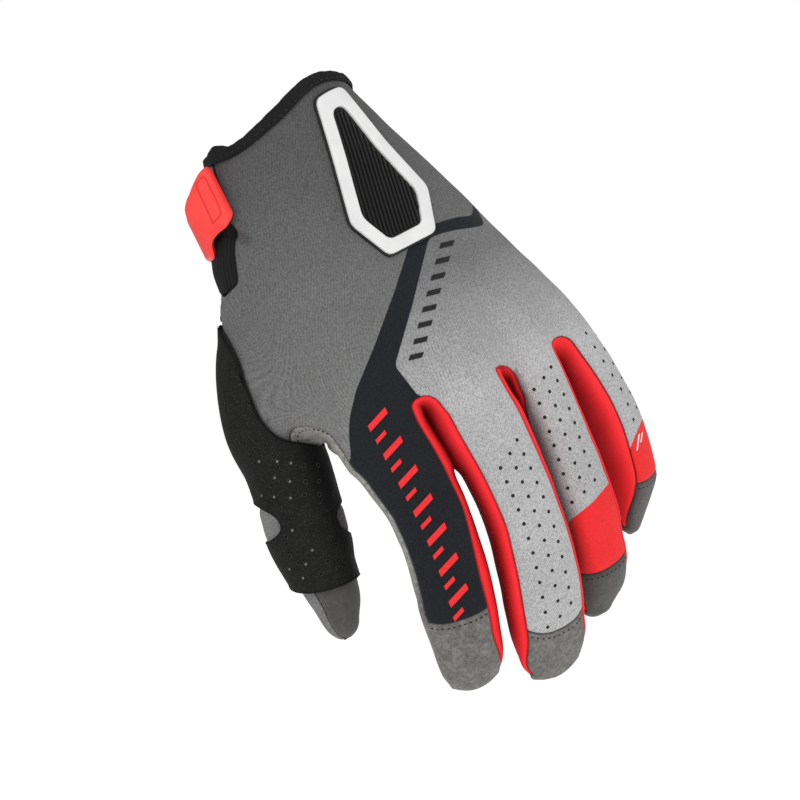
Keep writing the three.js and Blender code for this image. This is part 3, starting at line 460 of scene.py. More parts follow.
def grid_of(points, name="Grid"):
    """A grid primitive shaped over rows of points."""
    rows, columns = points.shape[:2]
    part = primitive("grid", x_subdivisions=columns - 1, y_subdivisions=rows - 1, size=1)
    part.name = part.data.name = name
    part.data.vertices.foreach_set("co", (points * MM).astype(np.float32).reshape(-1))
    part.data.update()
    return part


def set_threads(mesh, run):
    """Keeps how far the cloth's threads have run, in millimetres, as the UV map."""
    loops = np.zeros(len(mesh.loops), np.int32)
    mesh.loops.foreach_get("vertex_index", loops)
    mesh.uv_layers.active.name = "threads"
    at_corners = run.reshape(-1, 2)[loops].astype(np.float32)
    mesh.uv_layers["threads"].uv.foreach_set("vector", at_corners.reshape(-1))


def thread_run(points, across_start=0.0, down_start=0.0):
    """How far the threads have run across and down a grid of points."""
    across = np.cumsum(np.linalg.norm(np.diff(points, axis=1), axis=2), axis=1)
    down = np.cumsum(np.linalg.norm(np.diff(points, axis=0), axis=2), axis=0)
    across = np.pad(across, ((0, 0), (1, 0))) + np.reshape(across_start, (-1, 1))
    down = np.pad(down, ((1, 0), (0, 0))) + np.reshape(down_start, (1, -1))
    return np.stack([across, down], -1)


def cloth_grid(piece, points, flip=False, ease=None, across_start=0.0, down_start=None):
    """Lays out cloth over rows of points. Ease marks where it may settle smooth."""
    if down_start is None:
        down_start = -points[0, :, 2]
    run = thread_run(points, across_start, down_start)
    ends = run[:, -1, 0], run[-1, :, 1]
    if ease is None:
        ease = np.zeros(points.shape[:2])
    if flip:
        points, run, ease = points[:, ::-1], run[:, ::-1], ease[:, ::-1]
    part = grid_of(points)
    set_threads(part.data, run)
    part.data.materials.append(bpy.data.materials[piece])
    layer = part.data.attributes.new("ease", "FLOAT", "POINT")
    layer.data.foreach_set("value", np.ascontiguousarray(ease).reshape(-1).astype(np.float32))
    skin_parts.append(part)
    return ends


def select_only(parts):
    """Selects these parts alone, the first of them active."""
    bpy.ops.object.select_all(action="DESELECT")
    for part in parts:
        part.select_set(True)
    bpy.context.view_layer.objects.active = parts[0]


def edit_all(*steps):
    """Runs mesh operators, each with its settings, on the whole of the selected parts."""
    bpy.ops.object.mode_set(mode="EDIT")
    bpy.ops.mesh.select_all(action="SELECT")
    for operator, settings in steps:
        operator(**settings)
    bpy.ops.object.mode_set(mode="OBJECT")


def join_parts(parts, name, weld=0.02):
    """Several parts made one object, points closer than weld becoming one."""
    select_only(parts)
    bpy.ops.object.join()
    joined = bpy.context.active_object
    joined.name = joined.data.name = name
    if weld:
        edit_all((bpy.ops.mesh.remove_doubles, {"threshold": weld * MM}))
    return joined


along_rows = np.concatenate([np.linspace(0, KNUCKLE_ROW, HAND_ROWS + 1),
                             mix(KNUCKLE_ROW, SEAM_LAST, np.linspace(0, 1, KNUCKLE_ROWS + 1)[1:])])
share_rows = np.concatenate([np.zeros(HAND_ROWS + 1), np.linspace(0, 1, KNUCKLE_ROWS + 1)[1:]])
# Rows at the two ends of the gusset and at the thumb's top, so that the edges meet there
for fixed in (GUSSET_END, THUMB_TOP):
    along_rows[np.argmin(np.abs(along_rows[:HAND_ROWS] - fixed))] = fixed


def lay_out_hand():
    """The back and the palm of the hand down to the fingers' roots, and the gusset."""
    along = along_rows[:, None]
    share = share_rows[:, None]
    settle = ramp(along, *HAND_SETTLES)
    for side, piece in ((1, "back_panel"), (-1, "palm_panel")):
        across = 0 * along_rows
        for name in COLUMNS:
            web = name in WEBS
            t = shares(ACROSS_WEB if web else ACROSS_FINGER)[None, :]
            points = (web_column if web else finger_column)(name, t, along, share, side)
            start = across
            across, down = cloth_grid(piece, points, side < 0, settle + 0 * t, across)
            thread_ends[name, side] = (start[-1], down)
        t = shares(ACROSS_THUMB_WEB)[None, :]
        calm = ramp(along, *THUMB_WEB_SETTLES) + 0 * t
        cloth_grid(piece, thumb_web(t, along, share, side), side < 0, calm, across)
    knuckle_share = share_rows[HAND_ROWS:][:, None]
    deep = shares(ACROSS_SIDE)[None, :]
    calm = OUTER_SETTLES + 0 * knuckle_share * deep
    cloth_grid("back_panel", outer_side(deep, knuckle_share), True, calm)
    rows = along_rows[along_rows <= GUSSET_END][:, None]
    edge = gusset_angle(rows)
    round_gusset = mix(edge, 360 - edge, shares(ACROSS_SIDE)[None, :])
    cloth_grid("wrist_gusset", hand_point(round_gusset, rows))


def thumb_fold(deep, t):
    """The suede fold between the index finger and the thumb, from its back edge to the palm."""
    index, thumb = DIGITS["index"], DIGITS["thumb"]
    seam = mix(SEAM_CORNER, -SEAM_CORNER, deep)
    start = digit_skin(index, "radial", 0, deep)
    end = digit_point(thumb, seam_along(seam), seam)
    rise = mix(THUMB_WEB_RISE[0], THUMB_WEB_RISE[1], deep)[..., None]
    start_down, end_down = digit_frame(index, index["root"])[1], digit_frame(thumb, THUMB_CROTCH)[1]
    return cubic(start, -start_down * rise, end, end_down * rise, t[..., None])


def lay_out_crotches():
    """The cloth that joins the fingers' sides at their roots, and the fold beside the thumb."""
    deep = shares(ACROSS_SIDE)[:, None]
    for name, ((first, last), back_rise, palm_rise) in WEBS.items():
        a, b = DIGITS[first], DIGITS[last]
        start = digit_skin(a, "radial", 0, deep)
        end = digit_skin(b, "ulnar", 0, deep)
        rise = mix(back_rise, palm_rise, deep)[..., None]
        a_down, b_down = digit_frame(a, a["root"])[1], digit_frame(b, b["root"])[1]
        t = shares(ACROSS_WEB)[None, :, None]
        crotch = cubic(start, -a_down * rise, end, b_down * rise, t)
        cloth_grid(name.replace("web", "fourchette"), crotch)
    cloth_grid("palm_panel", thumb_fold(deep, shares(ACROSS_THUMB_WEB)[None, :]))


def lay_out_finger(name, ulnar_piece, radial_piece):
    """One finger: printed back, suede palm and cap, and the pieces along its two sides."""
    digit = DIGITS[name]
    tube = np.linspace(0, 1, FINGER_ROWS + 1)
    cap = 1 + np.linspace(0, 1, CAP_ROWS + 1)
    whole = np.concatenate([tube, cap[1:]])
    end_row = len(whole) - TIP_ROWS
    wide, deep = shares(ACROSS_FINGER)[None, :], shares(ACROSS_SIDE)[None, :]

    def calm(steps, width):
        return smooth(1 - steps * 5)[:, None] * FINGER_SETTLES + np.zeros((1, width))

    count, side_count = ACROSS_FINGER + 1, ACROSS_SIDE + 1
    across, down = thread_ends[name, 1]
    back = digit_skin(digit, "back", tube[:, None], wide)
    palm = digit_skin(digit, "palm", whole[:, None], wide)
    cloth_grid("back_panel", back, False, calm(tube, count), across, down)
    cloth_grid("palm_panel", digit_skin(digit, "back", cap[:, None], wide))
    cloth_grid("palm_panel", palm, True, calm(whole, count))
    for sector, piece, flip in (("ulnar", ulnar_piece, True), ("radial", radial_piece, False)):
        side = digit_skin(digit, sector, whole[:, None], deep)
        ease = calm(whole, side_count)
        cloth_grid(piece, side[:end_row], flip, ease[:end_row])
        cloth_grid("palm_panel", side[end_row - 1:], flip)


def lay_out_thumb():
    """The thumb from its seam to its tip, in rings that end at one point."""
    thumb = DIGITS["thumb"]
    back = seam_angle(along_rows[along_rows > THUMB_TOP])
    inner = mix(SEAM_CORNER, -SEAM_CORNER, shares(ACROSS_SIDE))[1:-1]
    lines = np.concatenate([[180], back, inner, -back[::-1], [-180]])
    front_start = int(np.argmax(lines <= THUMB_FRONT_FROM))
    front_end = int(np.argmax(lines <= THUMB_FRONT_TO))
    base = np.linspace(0, 1, THUMB_BASE_ROWS + 1)[:, None]
    rings = mix(THUMB_FULL, THUMB_LAST, 1 - (1 - shares(THUMB_ROWS)[1:, None]) ** 1.7)
    pole = digit_frame(thumb, np.array(THUMB_POLE))[0]
    for piece, angles in (("thumb_back", lines[: front_start + 1]),
                          ("thumb_front", lines[front_start: front_end + 1]),
                          ("thumb_back", lines[front_end:])):
        angle = angles[None, :]
        lower = digit_point(thumb, mix(seam_along(angle), THUMB_FULL, base), angle + 0 * base)
        tube = digit_point(thumb, rings + 0 * angle, angle + 0 * rings)
        end = np.broadcast_to(pole, (1, len(angles), 3))
        cloth_grid(piece, np.concatenate([lower, tube, end]), True)


SKIN_PIECES = ("back_panel", "palm_panel", "fourchette_index_middle", "fourchette_middle_ring",
               "fourchette_ring_little", "thumb_back", "thumb_front", "wrist_gusset")
for piece_name in SKIN_PIECES:
    bpy.data.materials.new(piece_name)
lay_out_hand()
lay_out_crotches()
lay_out_finger("index", "fourchette_index_middle", "palm_panel")
lay_out_finger("middle", "fourchette_middle_ring", "fourchette_index_middle")
lay_out_finger("ring", "fourchette_ring_little", "fourchette_middle_ring")
lay_out_finger("little", "back_panel", "fourchette_ring_little")
lay_out_thumb()
skin = join_parts(skin_parts, "skin")


# Settling, folds and seams
def coordinates(mesh):
    co = np.zeros(len(mesh.vertices) * 3, np.float32)
    mesh.vertices.foreach_get("co", co)
    return co.reshape(-1, 3).astype(float) / MM


def set_coordinates(mesh, co):
    mesh.vertices.foreach_set("co", (co * MM).astype(np.float32).reshape(-1))
    mesh.update()


def vertex_normals(mesh):
    normals = np.zeros(len(mesh.vertices) * 3, np.float32)
    mesh.vertex_normals.foreach_get("vector", normals)
    return normals.reshape(-1, 3).astype(float)


def edge_table(mesh):
    edges = np.zeros(len(mesh.edges) * 2, np.int32)
    mesh.edges.foreach_get("vertices", edges)
    return edges.reshape(-1, 2)


def read_floats(mesh, name):
    values = np.zeros(len(mesh.vertices), np.float32)
    mesh.attributes[name].data.foreach_get("value", values)
    return values.astype(float)


def write_floats(mesh, name, values):
    layer = mesh.attributes.get(name) or mesh.attributes.new(name, "FLOAT", "POINT")
    layer.data.foreach_set("value", values.astype(np.float32))


def corner_edges(mesh):
    """The edge that starts at each corner of the faces, and how many faces use each edge."""
    starts = np.zeros(len(mesh.loops), np.int32)
    mesh.loops.foreach_get("edge_index", starts)
    return starts, np.bincount(starts, minlength=len(mesh.edges))


def border_points(mesh):
    """True for each vertex on an edge that joins two pieces or is free."""
    starts, uses = corner_edges(mesh)
    kinds = [set() for _ in mesh.edges]
    for face in mesh.polygons:
        for corner in face.loop_indices:
            kinds[starts[corner]].add(face.material_index)
    border = (uses == 1) | np.array([len(kind) > 1 for kind in kinds])
    marked = np.zeros(len(mesh.vertices), bool)
    marked[edge_table(mesh)[border].reshape(-1)] = True
    return marked


def neighbour_sum(values, edges):
    """The sum of the values at each vertex's neighbours."""
    if values.ndim > 1:
        return np.stack([neighbour_sum(column, edges) for column in values.T], -1)
    a, b = edges.T
    return np.bincount(a, values[b], len(values)) + np.bincount(b, values[a], len(values))


def neighbour_count(count, edges):
    return np.bincount(edges.reshape(-1), minlength=count)


def relax(co, edges, weight, rounds, pull=0.5, push=-0.52):
    """Smooths the surface where weight is above 0, without shrinking it."""
    count = np.maximum(neighbour_count(len(co), edges), 1)[:, None]
    for i in range(rounds * 2):
        step = pull if i % 2 == 0 else push
        co = co + (neighbour_sum(co, edges) / count - co) * (weight * step)[:, None]
    return co


def settle_skin():
    """Smooths the cloth where it may settle, its borders staying where they are."""
    mesh = skin.data
    weight = np.where(border_points(mesh), 0, read_floats(mesh, "ease"))
    co = relax(coordinates(mesh), edge_table(mesh), weight, SETTLE_ROUNDS)
    co = relax(co, edge_table(mesh), weight * LAST_SHARE, LAST_ROUNDS, 0.5, 0.0)
    set_coordinates(mesh, co)


settle_skin()

# The view of the picture: directions across and away, the aim point and the distance, in millimetres
VIEW_TURN = math.radians(25)
VIEW_AIM = (-3.2, 99.6)
VIEW_DISTANCE = 1000.0
ACROSS = Vector((math.cos(VIEW_TURN), -math.sin(VIEW_TURN), 0))
AWAY = Vector((math.sin(VIEW_TURN), math.cos(VIEW_TURN), 0))
UP = Vector((0, 0, 1))
EYE = ACROSS * VIEW_AIM[0] - UP * VIEW_AIM[1] - AWAY * VIEW_DISTANCE


def seen(co):
    """Where points lie in the picture's view: across and along, in millimetres at the glove's middle."""
    across = co[:, 0] * math.cos(VIEW_TURN) - co[:, 1] * math.sin(VIEW_TURN)
    depth = co[:, 0] * math.sin(VIEW_TURN) + co[:, 1] * math.cos(VIEW_TURN)
    near = VIEW_DISTANCE / (VIEW_DISTANCE + depth)
    across = VIEW_AIM[0] + (across - VIEW_AIM[0]) * near
    along = VIEW_AIM[1] + (-co[:, 2] - VIEW_AIM[1]) * near
    return np.stack([across, along], -1)


def from_view(across, along, depth):
    """The point that shows at a spot of the view and lies at a depth beyond the middle of the glove."""
    across, along, depth = same_shape(across, along, depth)
    near = VIEW_DISTANCE / (VIEW_DISTANCE + depth)
    across = VIEW_AIM[0] + (across - VIEW_AIM[0]) / near
    along = VIEW_AIM[1] + (along - VIEW_AIM[1]) / near
    spot = np.stack([across, depth, along], -1)
    return spot @ np.array([ACROSS, AWAY, -UP])


def facing(normals):
    """How much a surface faces the picture's view."""
    return -(normals[:, 0] * math.sin(VIEW_TURN) + normals[:, 1] * math.cos(VIEW_TURN))


def distance_to_line(points, line):
    """Distance of flat points from a chain of straight lines."""
    best = np.full(len(points), 1e9)
    for a, b in zip(line[:-1], line[1:]):
        a, b = np.array(a, float), np.array(b, float)
        t = np.clip(((points - a) @ (b - a)) / max((b - a) @ (b - a), 1e-9), 0, 1)
        best = np.minimum(best, np.linalg.norm(points - (a + t[:, None] * (b - a)), axis=1))
    return best


def inside_distance(points, outline):
    """Distance from an outline, above 0 inside it."""
    closed = list(outline) + [outline[0]]
    distance = distance_to_line(points, closed)
    inside = np.zeros(len(points), bool)
    for (x0, y0), (x1, y1) in zip(closed[:-1], closed[1:]):
        crosses = (y0 > points[:, 1]) != (y1 > points[:, 1])
        where = x0 + (points[:, 1] - y0) * (x1 - x0) / (y1 - y0 if y1 != y0 else 1e-9)
        inside ^= crosses & (points[:, 0] < where)
    return np.where(inside, distance, -distance)


# Folds that show in the cloth: a line in the view, its depth (below 0 for a ridge) and its width
FOLDS = [
    ([(-27.6, 25.8), (-25.6, 29)], 1.9, 1.7),
    ([(-29, 21.6), (-26, 24.4), (-22.6, 27)], -1.0, 1.7),
    ([(-24, 30), (-19, 33), (-12, 33)], 0.5, 2.6),
    ([(-31, 34), (-24, 37), (-14, 39)], 0.5, 3.4),
    ([(-21, 8), (-14, 12), (-6, 13)], 0.35, 3),
    ([(-22, 15), (-14, 19), (-4, 20)], 0.35, 3.2),
    ([(-38, 60), (-30, 63), (-20, 62)], 0.5, 4),
    ([(-36, 72), (-30, 80), (-30, 90)], 0.5, 4),
    ([(-26, 92), (-23, 99), (-25, 106)], 0.5, 3),
    ([(40, 68), (30, 80), (17, 88)], 0.5, 6),
    ([(56, 84), (48, 92), (38, 97)], 0.5, 5),
]

# Where the index and the middle finger press together: a line in the view, its width and the depth
PRESSED = [(3.2, 103), (4.6, 110), (4.8, 117), (3.8, 125.5)]
PRESSED_WIDE = 3.2
PRESS = 1.5

# Slow unevenness of cloth over a hand: its rate per millimetre, its depth and where its noise starts
UNEVEN = ((0.045, 0.55, 0), (0.11, 0.22, 7))

# The guard's middle, and how far across and along from it the cloth lies flatter
GUARD_X = 12.6
GUARD_ALONG = 29.5
GUARD_CALM = (21, 31)

# Small shifts of the cloth: a line in the view, how far across and along it moves, and how wide around it
NUDGES = [
    ([(-40.2, 45), (-41, 47)], (-2.2, 0), 3.0),
    ([(-43.2, 51), (-43.8, 53.4)], (-1.0, 0), 3.2),
    ([(-33.4, 98.2), (-32.4, 99)], (1.4, 2.2), 3.4),
    ([(-29.8, 104), (-28.3, 109), (-27, 112.5)], (-1.0, 0.35), 3.5),
    ([(-59.5, 114.5), (-61.5, 121.5)], (-1.9, -0.4), 4.5),
    ([(-37.4, 123.5), (-38.2, 129)], (2.2, 0.2), 3.4),
    ([(-5.7, 197)], (-1.5, 0.3), 4.0),
    ([(-4.8, 201.2), (2, 201.5)], (0.4, 0.9), 3.5),
    ([(46.3, 170.9)], (-1.0, 2.1), 4.5),
    ([(60.6, 158.8)], (0.9, 0.4), 6.0),
    ([(21.5, 190.3)], (-0.6, 0.5), 4.0),
    ([(31.7, 190.6)], (-0.9, -0.4), 4.0),
    ([(39.9, 179.8)], (0.6, 0.3), 8.0),
    ([(9.3, 106)], (-1.1, 0.5), 3.6),
    ([(35.3, 109.1), (34.9, 112.5)], (-1.1, 0.2), 3.2),
    ([(-27.5, 145), (-29, 152), (-29.6, 160)], (0.75, 0), 3.2),
    ([(-29.5, 100), (-27.5, 103.5)], (-0.4, 0.9), 3.0),
    ([(-40.5, 40), (-37.5, 41.5)], (0, 1.7), 2.6),
]

# Places where the cloth is evened out: a spot in the view, its reach and how many passes
EVENED = [((-40.6, 44.6), 4.5, 8)]
EVENED_SHARE = 0.6


def even_out(mesh, co):
    """Draws each vertex towards the mean of its neighbours, at the places to be evened out."""
    edges = edge_table(mesh)
    count = np.maximum(neighbour_count(len(co), edges), 1)[:, None]
    for spot, reach, passes in EVENED:
        share = np.exp(-(distance_to_line(seen(co), [spot, spot]) / reach) ** 4)[:, None] * EVENED_SHARE
        for _ in range(passes):
            co = mix(co, neighbour_sum(co, edges) / count, share)
    return co


def nudge(co):
    """Shifts the cloth across and along the view, round each line."""
    flat = seen(co)
    for line, (across, along), reach in NUDGES:
        share = fade(distance_to_line(flat, line + line[-1:]), reach)[:, None]
        co = co + share * (np.array(ACROSS) * across - np.array(UP) * along)
    return co


def fold_cloth():
    """Nudges, folds and presses the cloth, less of it under the guard and at the rim."""
    mesh = skin.data
    co, normals = even_out(mesh, nudge(coordinates(mesh))), vertex_normals(mesh)
    flat = seen(co)
    toward = smooth(facing(normals) * 3)
    drop = np.zeros(len(co))
    for line, depth, width in FOLDS:
        drop += depth * fade(distance_to_line(flat, line), width) * toward
    for i, p in enumerate(co):
        drop[i] += sum(noise.noise(Vector(p * rate + start)) * depth for rate, depth, start in UNEVEN)
    # Only the two sides of the crotch are pressed, not the backs of the fingers
    sides = 1 - smooth(facing(normals) * 2.2 - 0.5)
    close = fade(distance_to_line(flat, PRESSED), PRESSED_WIDE) * sides
    drop -= PRESS * close * (co[:, 1] < 2)
    across = (co[:, 0] - GUARD_X) / GUARD_CALM[0]
    along = (-co[:, 2] - GUARD_ALONG) / GUARD_CALM[1]
    drop *= 0.25 + 0.75 * ramp(np.hypot(across, along), 0.8, 0.5)
    near_rim = ramp(-co[:, 2], 2, 8)
    set_coordinates(mesh, co - normals * (drop * near_rim)[:, None])


fold_cloth()


def part_skin():
    """The skin taken apart into its pieces, named by their materials."""
    select_only([skin])
    edit_all((bpy.ops.mesh.separate, {"type": "MATERIAL"}))
    found = {}
    for part in list(bpy.context.selected_objects):
        mesh = part.data
        name = mesh.materials[mesh.polygons[0].material_index].name
        part.name = mesh.name = "sewn_" + name
        found[name] = part
    return found


# The whole skin's normals, kept so that neighbours turn in alike
NORMAL_LAYERS = ("nx", "ny", "nz")
for layer_name, values in zip(NORMAL_LAYERS, vertex_normals(skin.data).T):
    write_floats(skin.data, layer_name, values)
pieces = part_skin()

# How wide and how deep the edges of the pieces turn in at their seams, less deep at the rim
SEAM_ROLL = 1.5
SEAM_DEPTH = {"back_panel": 0.62, "palm_panel": 0.75, "thumb_back": 0.6, "thumb_front": 0.6}
FOURCHETTE_DEPTH = 0.8
EDGE_STEP = 0.15


def free_edges(mesh):
    """Vertex pairs of the edges that only one face uses."""
    return edge_table(mesh)[corner_edges(mesh)[1] == 1]


def edge_distance(co, edges):
    """Distance of each vertex from the nearest free edge."""
    spots = []
    for a, b in co[edges]:
        count = int(np.linalg.norm(b - a) / EDGE_STEP) + 2
        spots.extend(mix(a, b, np.linspace(0, 1, count)[:, None]))
    tree = KDTree(len(spots))
    for i, spot in enumerate(spots):
        tree.insert(spot, i)
    tree.balance()
    return np.array([tree.find(p)[2] for p in co])


def edge_roll(mesh, co, reach):
    """How far each vertex has turned in at a free edge, 0 to 1. Keeps its distance as the seam."""
    distance = edge_distance(co, free_edges(mesh))
    write_floats(mesh, "seam", distance)
    return np.clip(1 - distance / reach, 0, 1) ** 2


def roll_seams(name, part):
    """Turns a piece's edges in, as where cloth is sewn to its neighbour."""
    mesh = part.data
    co = coordinates(mesh)
    normals = unit(np.stack([read_floats(mesh, layer) for layer in NORMAL_LAYERS], -1))
    at_rim = ramp(co[:, 2], -10, 6) * (co[:, 2] > -9)
    depth = SEAM_DEPTH.get(name, FOURCHETTE_DEPTH) * (1 - 0.7 * at_rim)
    roll = edge_roll(mesh, co, SEAM_ROLL)
    set_coordinates(mesh, co - normals * (depth * roll)[:, None])
    for extra in (*NORMAL_LAYERS, "ease"):
        mesh.attributes.remove(mesh.attributes[extra])


def apply_modifier(part, kind, **settings):
    select_only([part])
    modifier = part.modifiers.new(kind.lower(), kind)
    for key, value in settings.items():
        setattr(modifier, key, value)
    bpy.ops.object.modifier_apply(modifier=modifier.name)


def thicken(part, thick):
    """Gives a sheet its thickness, inwards."""
    apply_modifier(part, "SOLIDIFY", thickness=thick * MM, offset=-1)


for piece_name, part in pieces.items():
    roll_seams(piece_name, part)

# Prints on the back of the hand, as outlines in the picture's view
STRIPE_UPPER = [
    (62, 44), (49.5, 44), (47.2, 50.7), (46.1, 54.2), (45, 55.3), (44, 55.2), (40.6, 53.9),
    (37.2, 53.2), (31.6, 52.4), (27.8, 51.9), (26.1, 52), (24.5, 52.7), (11.1, 66.6), (-3.1, 80.1),
    (-14.6, 90.1), (-18, 94.2), (-20.3, 97), (-22.5, 100.6), (-24.2, 104.3), (-25.3, 107.5),
    (-26.6, 110),
]
INDEX_OUTSIDE = [(-34, 114), (-40, 125), (-40, 150), (-40, 180), (0, 182)]
INDEX_INSIDE = [(0, 168), (5, 145), (6.5, 125), (5.5, 110), (3.6, 101.4)]
STRIPE_LOWER = [
    (2.6, 100.2), (0.5, 89.7), (0.9, 88), (1.9, 86.9), (14.2, 73.5), (28.2, 56.9), (29.2, 56.2),
    (30.3, 56.1), (33.4, 56.4), (37.8, 57.4), (45.5, 59.8), (46.7, 60), (47.5, 59.4), (47.5, 57.9),
    (47.6, 52), (62, 50),
]
BLACK_PRINT = STRIPE_UPPER + INDEX_OUTSIDE + INDEX_INSIDE + STRIPE_LOWER
LIGHT_PRINT = STRIPE_LOWER[::-1] + INDEX_INSIDE[::-1] + [(0, 200), (85, 200), (85, 50)]
RING_END = [
    (28.6, 160.5), (30, 160), (39, 158), (48, 154), (49.5, 153.2), (49.5, 190), (20, 190), (22, 184),
    (24.4, 177), (26.9, 169),
]
LITTLE_END = [(54.6, 150.1), (56.5, 148.5), (65.3, 141), (75, 132.7), (75, 170), (54.6, 170)]


def print_back():
    """Keeps each print's distance from its outline with the cloth."""
    mesh = pieces["back_panel"].data
    flat = seen(coordinates(mesh))
    write_floats(mesh, "black", inside_distance(flat, BLACK_PRINT))
    write_floats(mesh, "light", inside_distance(flat, LIGHT_PRINT))
    red = np.maximum(inside_distance(flat, RING_END), inside_distance(flat, LITTLE_END))
    write_floats(mesh, "red", red)
    plain = pieces["thumb_back"].data
    for name in ("black", "light", "red"):
        write_floats(plain, name, np.full(len(plain.vertices), -10.0))


print_back()


# Finding places on a surface
CAST_STEP = 0.5


def surface_tree(parts):
    """The surface of several parts, for rays and nearest places."""
    points, faces = [], []
    for part in parts:
        start = len(points)
        points.extend(Vector(p) for p in coordinates(part.data))
        faces.extend([start + i for i in face.vertices] for face in part.data.polygons)
    return BVHTree.FromPolygons(points, faces)


def cast(tree, spot):
    """The place and normal that the picture's view meets at a spot."""
    toward = (ACROSS * spot[0] - UP * spot[1] - EYE).normalized()
    place, normal = tree.ray_cast(EYE, toward)[:2]
    return place, normal


def placing(place, normal, along):
    """A transform that puts a model on a surface, its length along a direction."""
    z = Vector(normal).normalized()
    x = Vector(along)
    x = (x - z * x.dot(z)).normalized()
    y = z.cross(x)
    turn = Matrix((x, y, z)).transposed().to_4x4()
    turn.translation = Vector(place) * MM
    return turn


def run_of(line):
    """How far along a line of points each of them lies."""
    return np.concatenate([[0], np.cumsum(np.linalg.norm(np.diff(line, axis=0), axis=1))])


def on_line(line, run, at):
    """The places at some distances along a line of points."""
    return np.stack([np.interp(at, run, values) for values in line.T], -1)


def even_places(line, pitch):
    """Places at an even pitch along a line of points, with the line's direction at each."""
    line = np.asarray(line, float)
    run = run_of(line)
    count = max(int(run[-1] / pitch), 1)
    at = (np.arange(count) + 0.5) * run[-1] / count
    return on_line(line, run, at), on_line(line, run, at + 0.2) - on_line(line, run, at - 0.2)


def stitch_places(tree, line, pitch, sunk=0.0):
    """Transforms for a row of stitches laid on a surface along a line."""
    found = []
    for spot, along in zip(*even_places(line, pitch)):
        place, normal = tree.find_nearest(Vector(spot))[:2]
        found.append(placing(place - normal * sunk, normal, along))
    return found


def cast_line(tree, spots):
    """A line of points on a surface below a line in the picture's view."""
    line = []
    for a, b in zip(spots[:-1], spots[1:]):
        steps = max(int(math.dist(a, b) / CAST_STEP), 1)
        for i in range(steps):
            line.append(cast(tree, (mix(a[0], b[0], i / steps), mix(a[1], b[1], i / steps)))[0])
    line.append(cast(tree, spots[-1])[0])
    return [p for p in line if p is not None]


def shade_smooth(part, degrees=40):
    select_only([part])
    bpy.ops.object.shade_smooth_by_angle(angle=math.radians(degrees))


def stitch_model(length, width=0.42, height=0.3):
    """One stitch: a short thread whose ends sink into the cloth."""
    model = primitive("uv_sphere", segments=8, ring_count=6, radius=0.5 * MM)
    model.data.transform(Matrix.Diagonal((length, width, height, 1)))
    return model


def disc_model(across, high):
    """One round mark: a flat disc with a rounded edge."""
    model = primitive("cylinder", vertices=14, radius=across / 2 * MM, depth=2 * high * MM)
    apply_modifier(model, "BEVEL", width=high * 0.5 * MM, segments=1, limit_method="ANGLE")
    return model


def hole_model(across, lip=0.13):
    """The raised lip of one punched hole."""
    return primitive("torus", major_radius=across / 2 * MM, minor_radius=lip * MM,
                     major_segments=14, minor_segments=6)


def copies(model, places, name):
    """Copies of a model, one at each place, joined into one piece."""
    parts = []
    for place in places:
        part = model.copy()
        part.data = model.data.copy()
        part.data.transform(place)
        bpy.context.scene.collection.objects.link(part)
        parts.append(part)
    bpy.data.objects.remove(model)
    joined = join_parts(parts, name, None)
    joined.matrix_world = Matrix.Identity(4)
    shade_smooth(joined)
    return joined


def closed_band(points, name):
    """A solid band from a grid whose first and last rows, and columns, are the same."""
    part = grid_of(points, name)
    edit_all((bpy.ops.mesh.remove_doubles, {"threshold": 0.005 * MM}),
             (bpy.ops.mesh.normals_make_consistent, {"inside": False}))
    return part


def plate(points, name, thick, edge, edge_reach):
    """A plate below a grid of points, its edges rounded."""
    part = grid_of(points, name)
    mesh = part.data
    set_threads(mesh, thread_run(points))
    co, normals = coordinates(mesh), vertex_normals(mesh)
    roll = edge_roll(mesh, co, edge_reach)
    set_coordinates(mesh, co - normals * (edge * roll)[:, None])
    thicken(part, thick)
    return part


def lifted(surface, a, b, lift):
    """A point lifted off a surface that is given as a function of two values."""
    a, b = same_shape(a, b)
    along_a = surface(a + 0.5, b) - surface(a - 0.5, b)
    along_b = surface(a, b + 0.5) - surface(a, b - 0.5)
    normal = unit(np.cross(along_a, along_b))
    return surface(a, b) + normal * np.reshape(lift, np.shape(lift) + (1,))


def on_hand(angle, along, lift):
    return lifted(hand_point, angle, along, lift)


def on_thumb(angle, along, lift):
    return lifted(lambda a, s: digit_point(DIGITS["thumb"], s, a), angle, along, lift)


extras = {}
skin_tree = surface_tree(pieces.values())

# How open each place of the cloth lies, for the painted shade between the fingers, darker where it is less
# open
OPEN_RAYS = 22
OPEN_REACH = 45
OPEN_PASSES = 10
# How far above the cloth the rays start, and how nearly they may run along it
OPEN_LIFT = 0.7
OPEN_SLANT = 0.15


def ray_directions(count):
    """Directions spread evenly over a sphere."""
    i = np.arange(count)
    high = 1 - 2 * (i + 0.5) / count
    turn = i * math.pi * (3 - math.sqrt(5))
    flat = np.sqrt(1 - high**2)
    return np.stack([flat * np.cos(turn), flat * np.sin(turn), high], -1)


def mark_openness_for_shade(part):
    """Keeps the share of rays that leave each vertex freely, evened out over its neighbours."""
    mesh = part.data
    co, normals = coordinates(mesh), vertex_normals(mesh)
    clear, total = np.zeros(len(co)), np.full(len(co), 1e-6)
    starts = co + normals * OPEN_LIFT
    for direction in ray_directions(OPEN_RAYS):
        facing_ray = normals @ direction
        ray = Vector(direction)
        for i in np.nonzero(facing_ray > OPEN_SLANT)[0]:
            total[i] += facing_ray[i]
            if skin_tree.ray_cast(Vector(starts[i]), ray, OPEN_REACH)[0] is None:
                clear[i] += facing_ray[i]
    shown = clear / total
    edges = edge_table(mesh)
    count = neighbour_count(len(co), edges) + 1
    for _ in range(OPEN_PASSES):
        shown = (neighbour_sum(shown, edges) + shown) / count
    write_floats(mesh, "open", shown)


for part in pieces.values():
    mark_openness_for_shade(part)

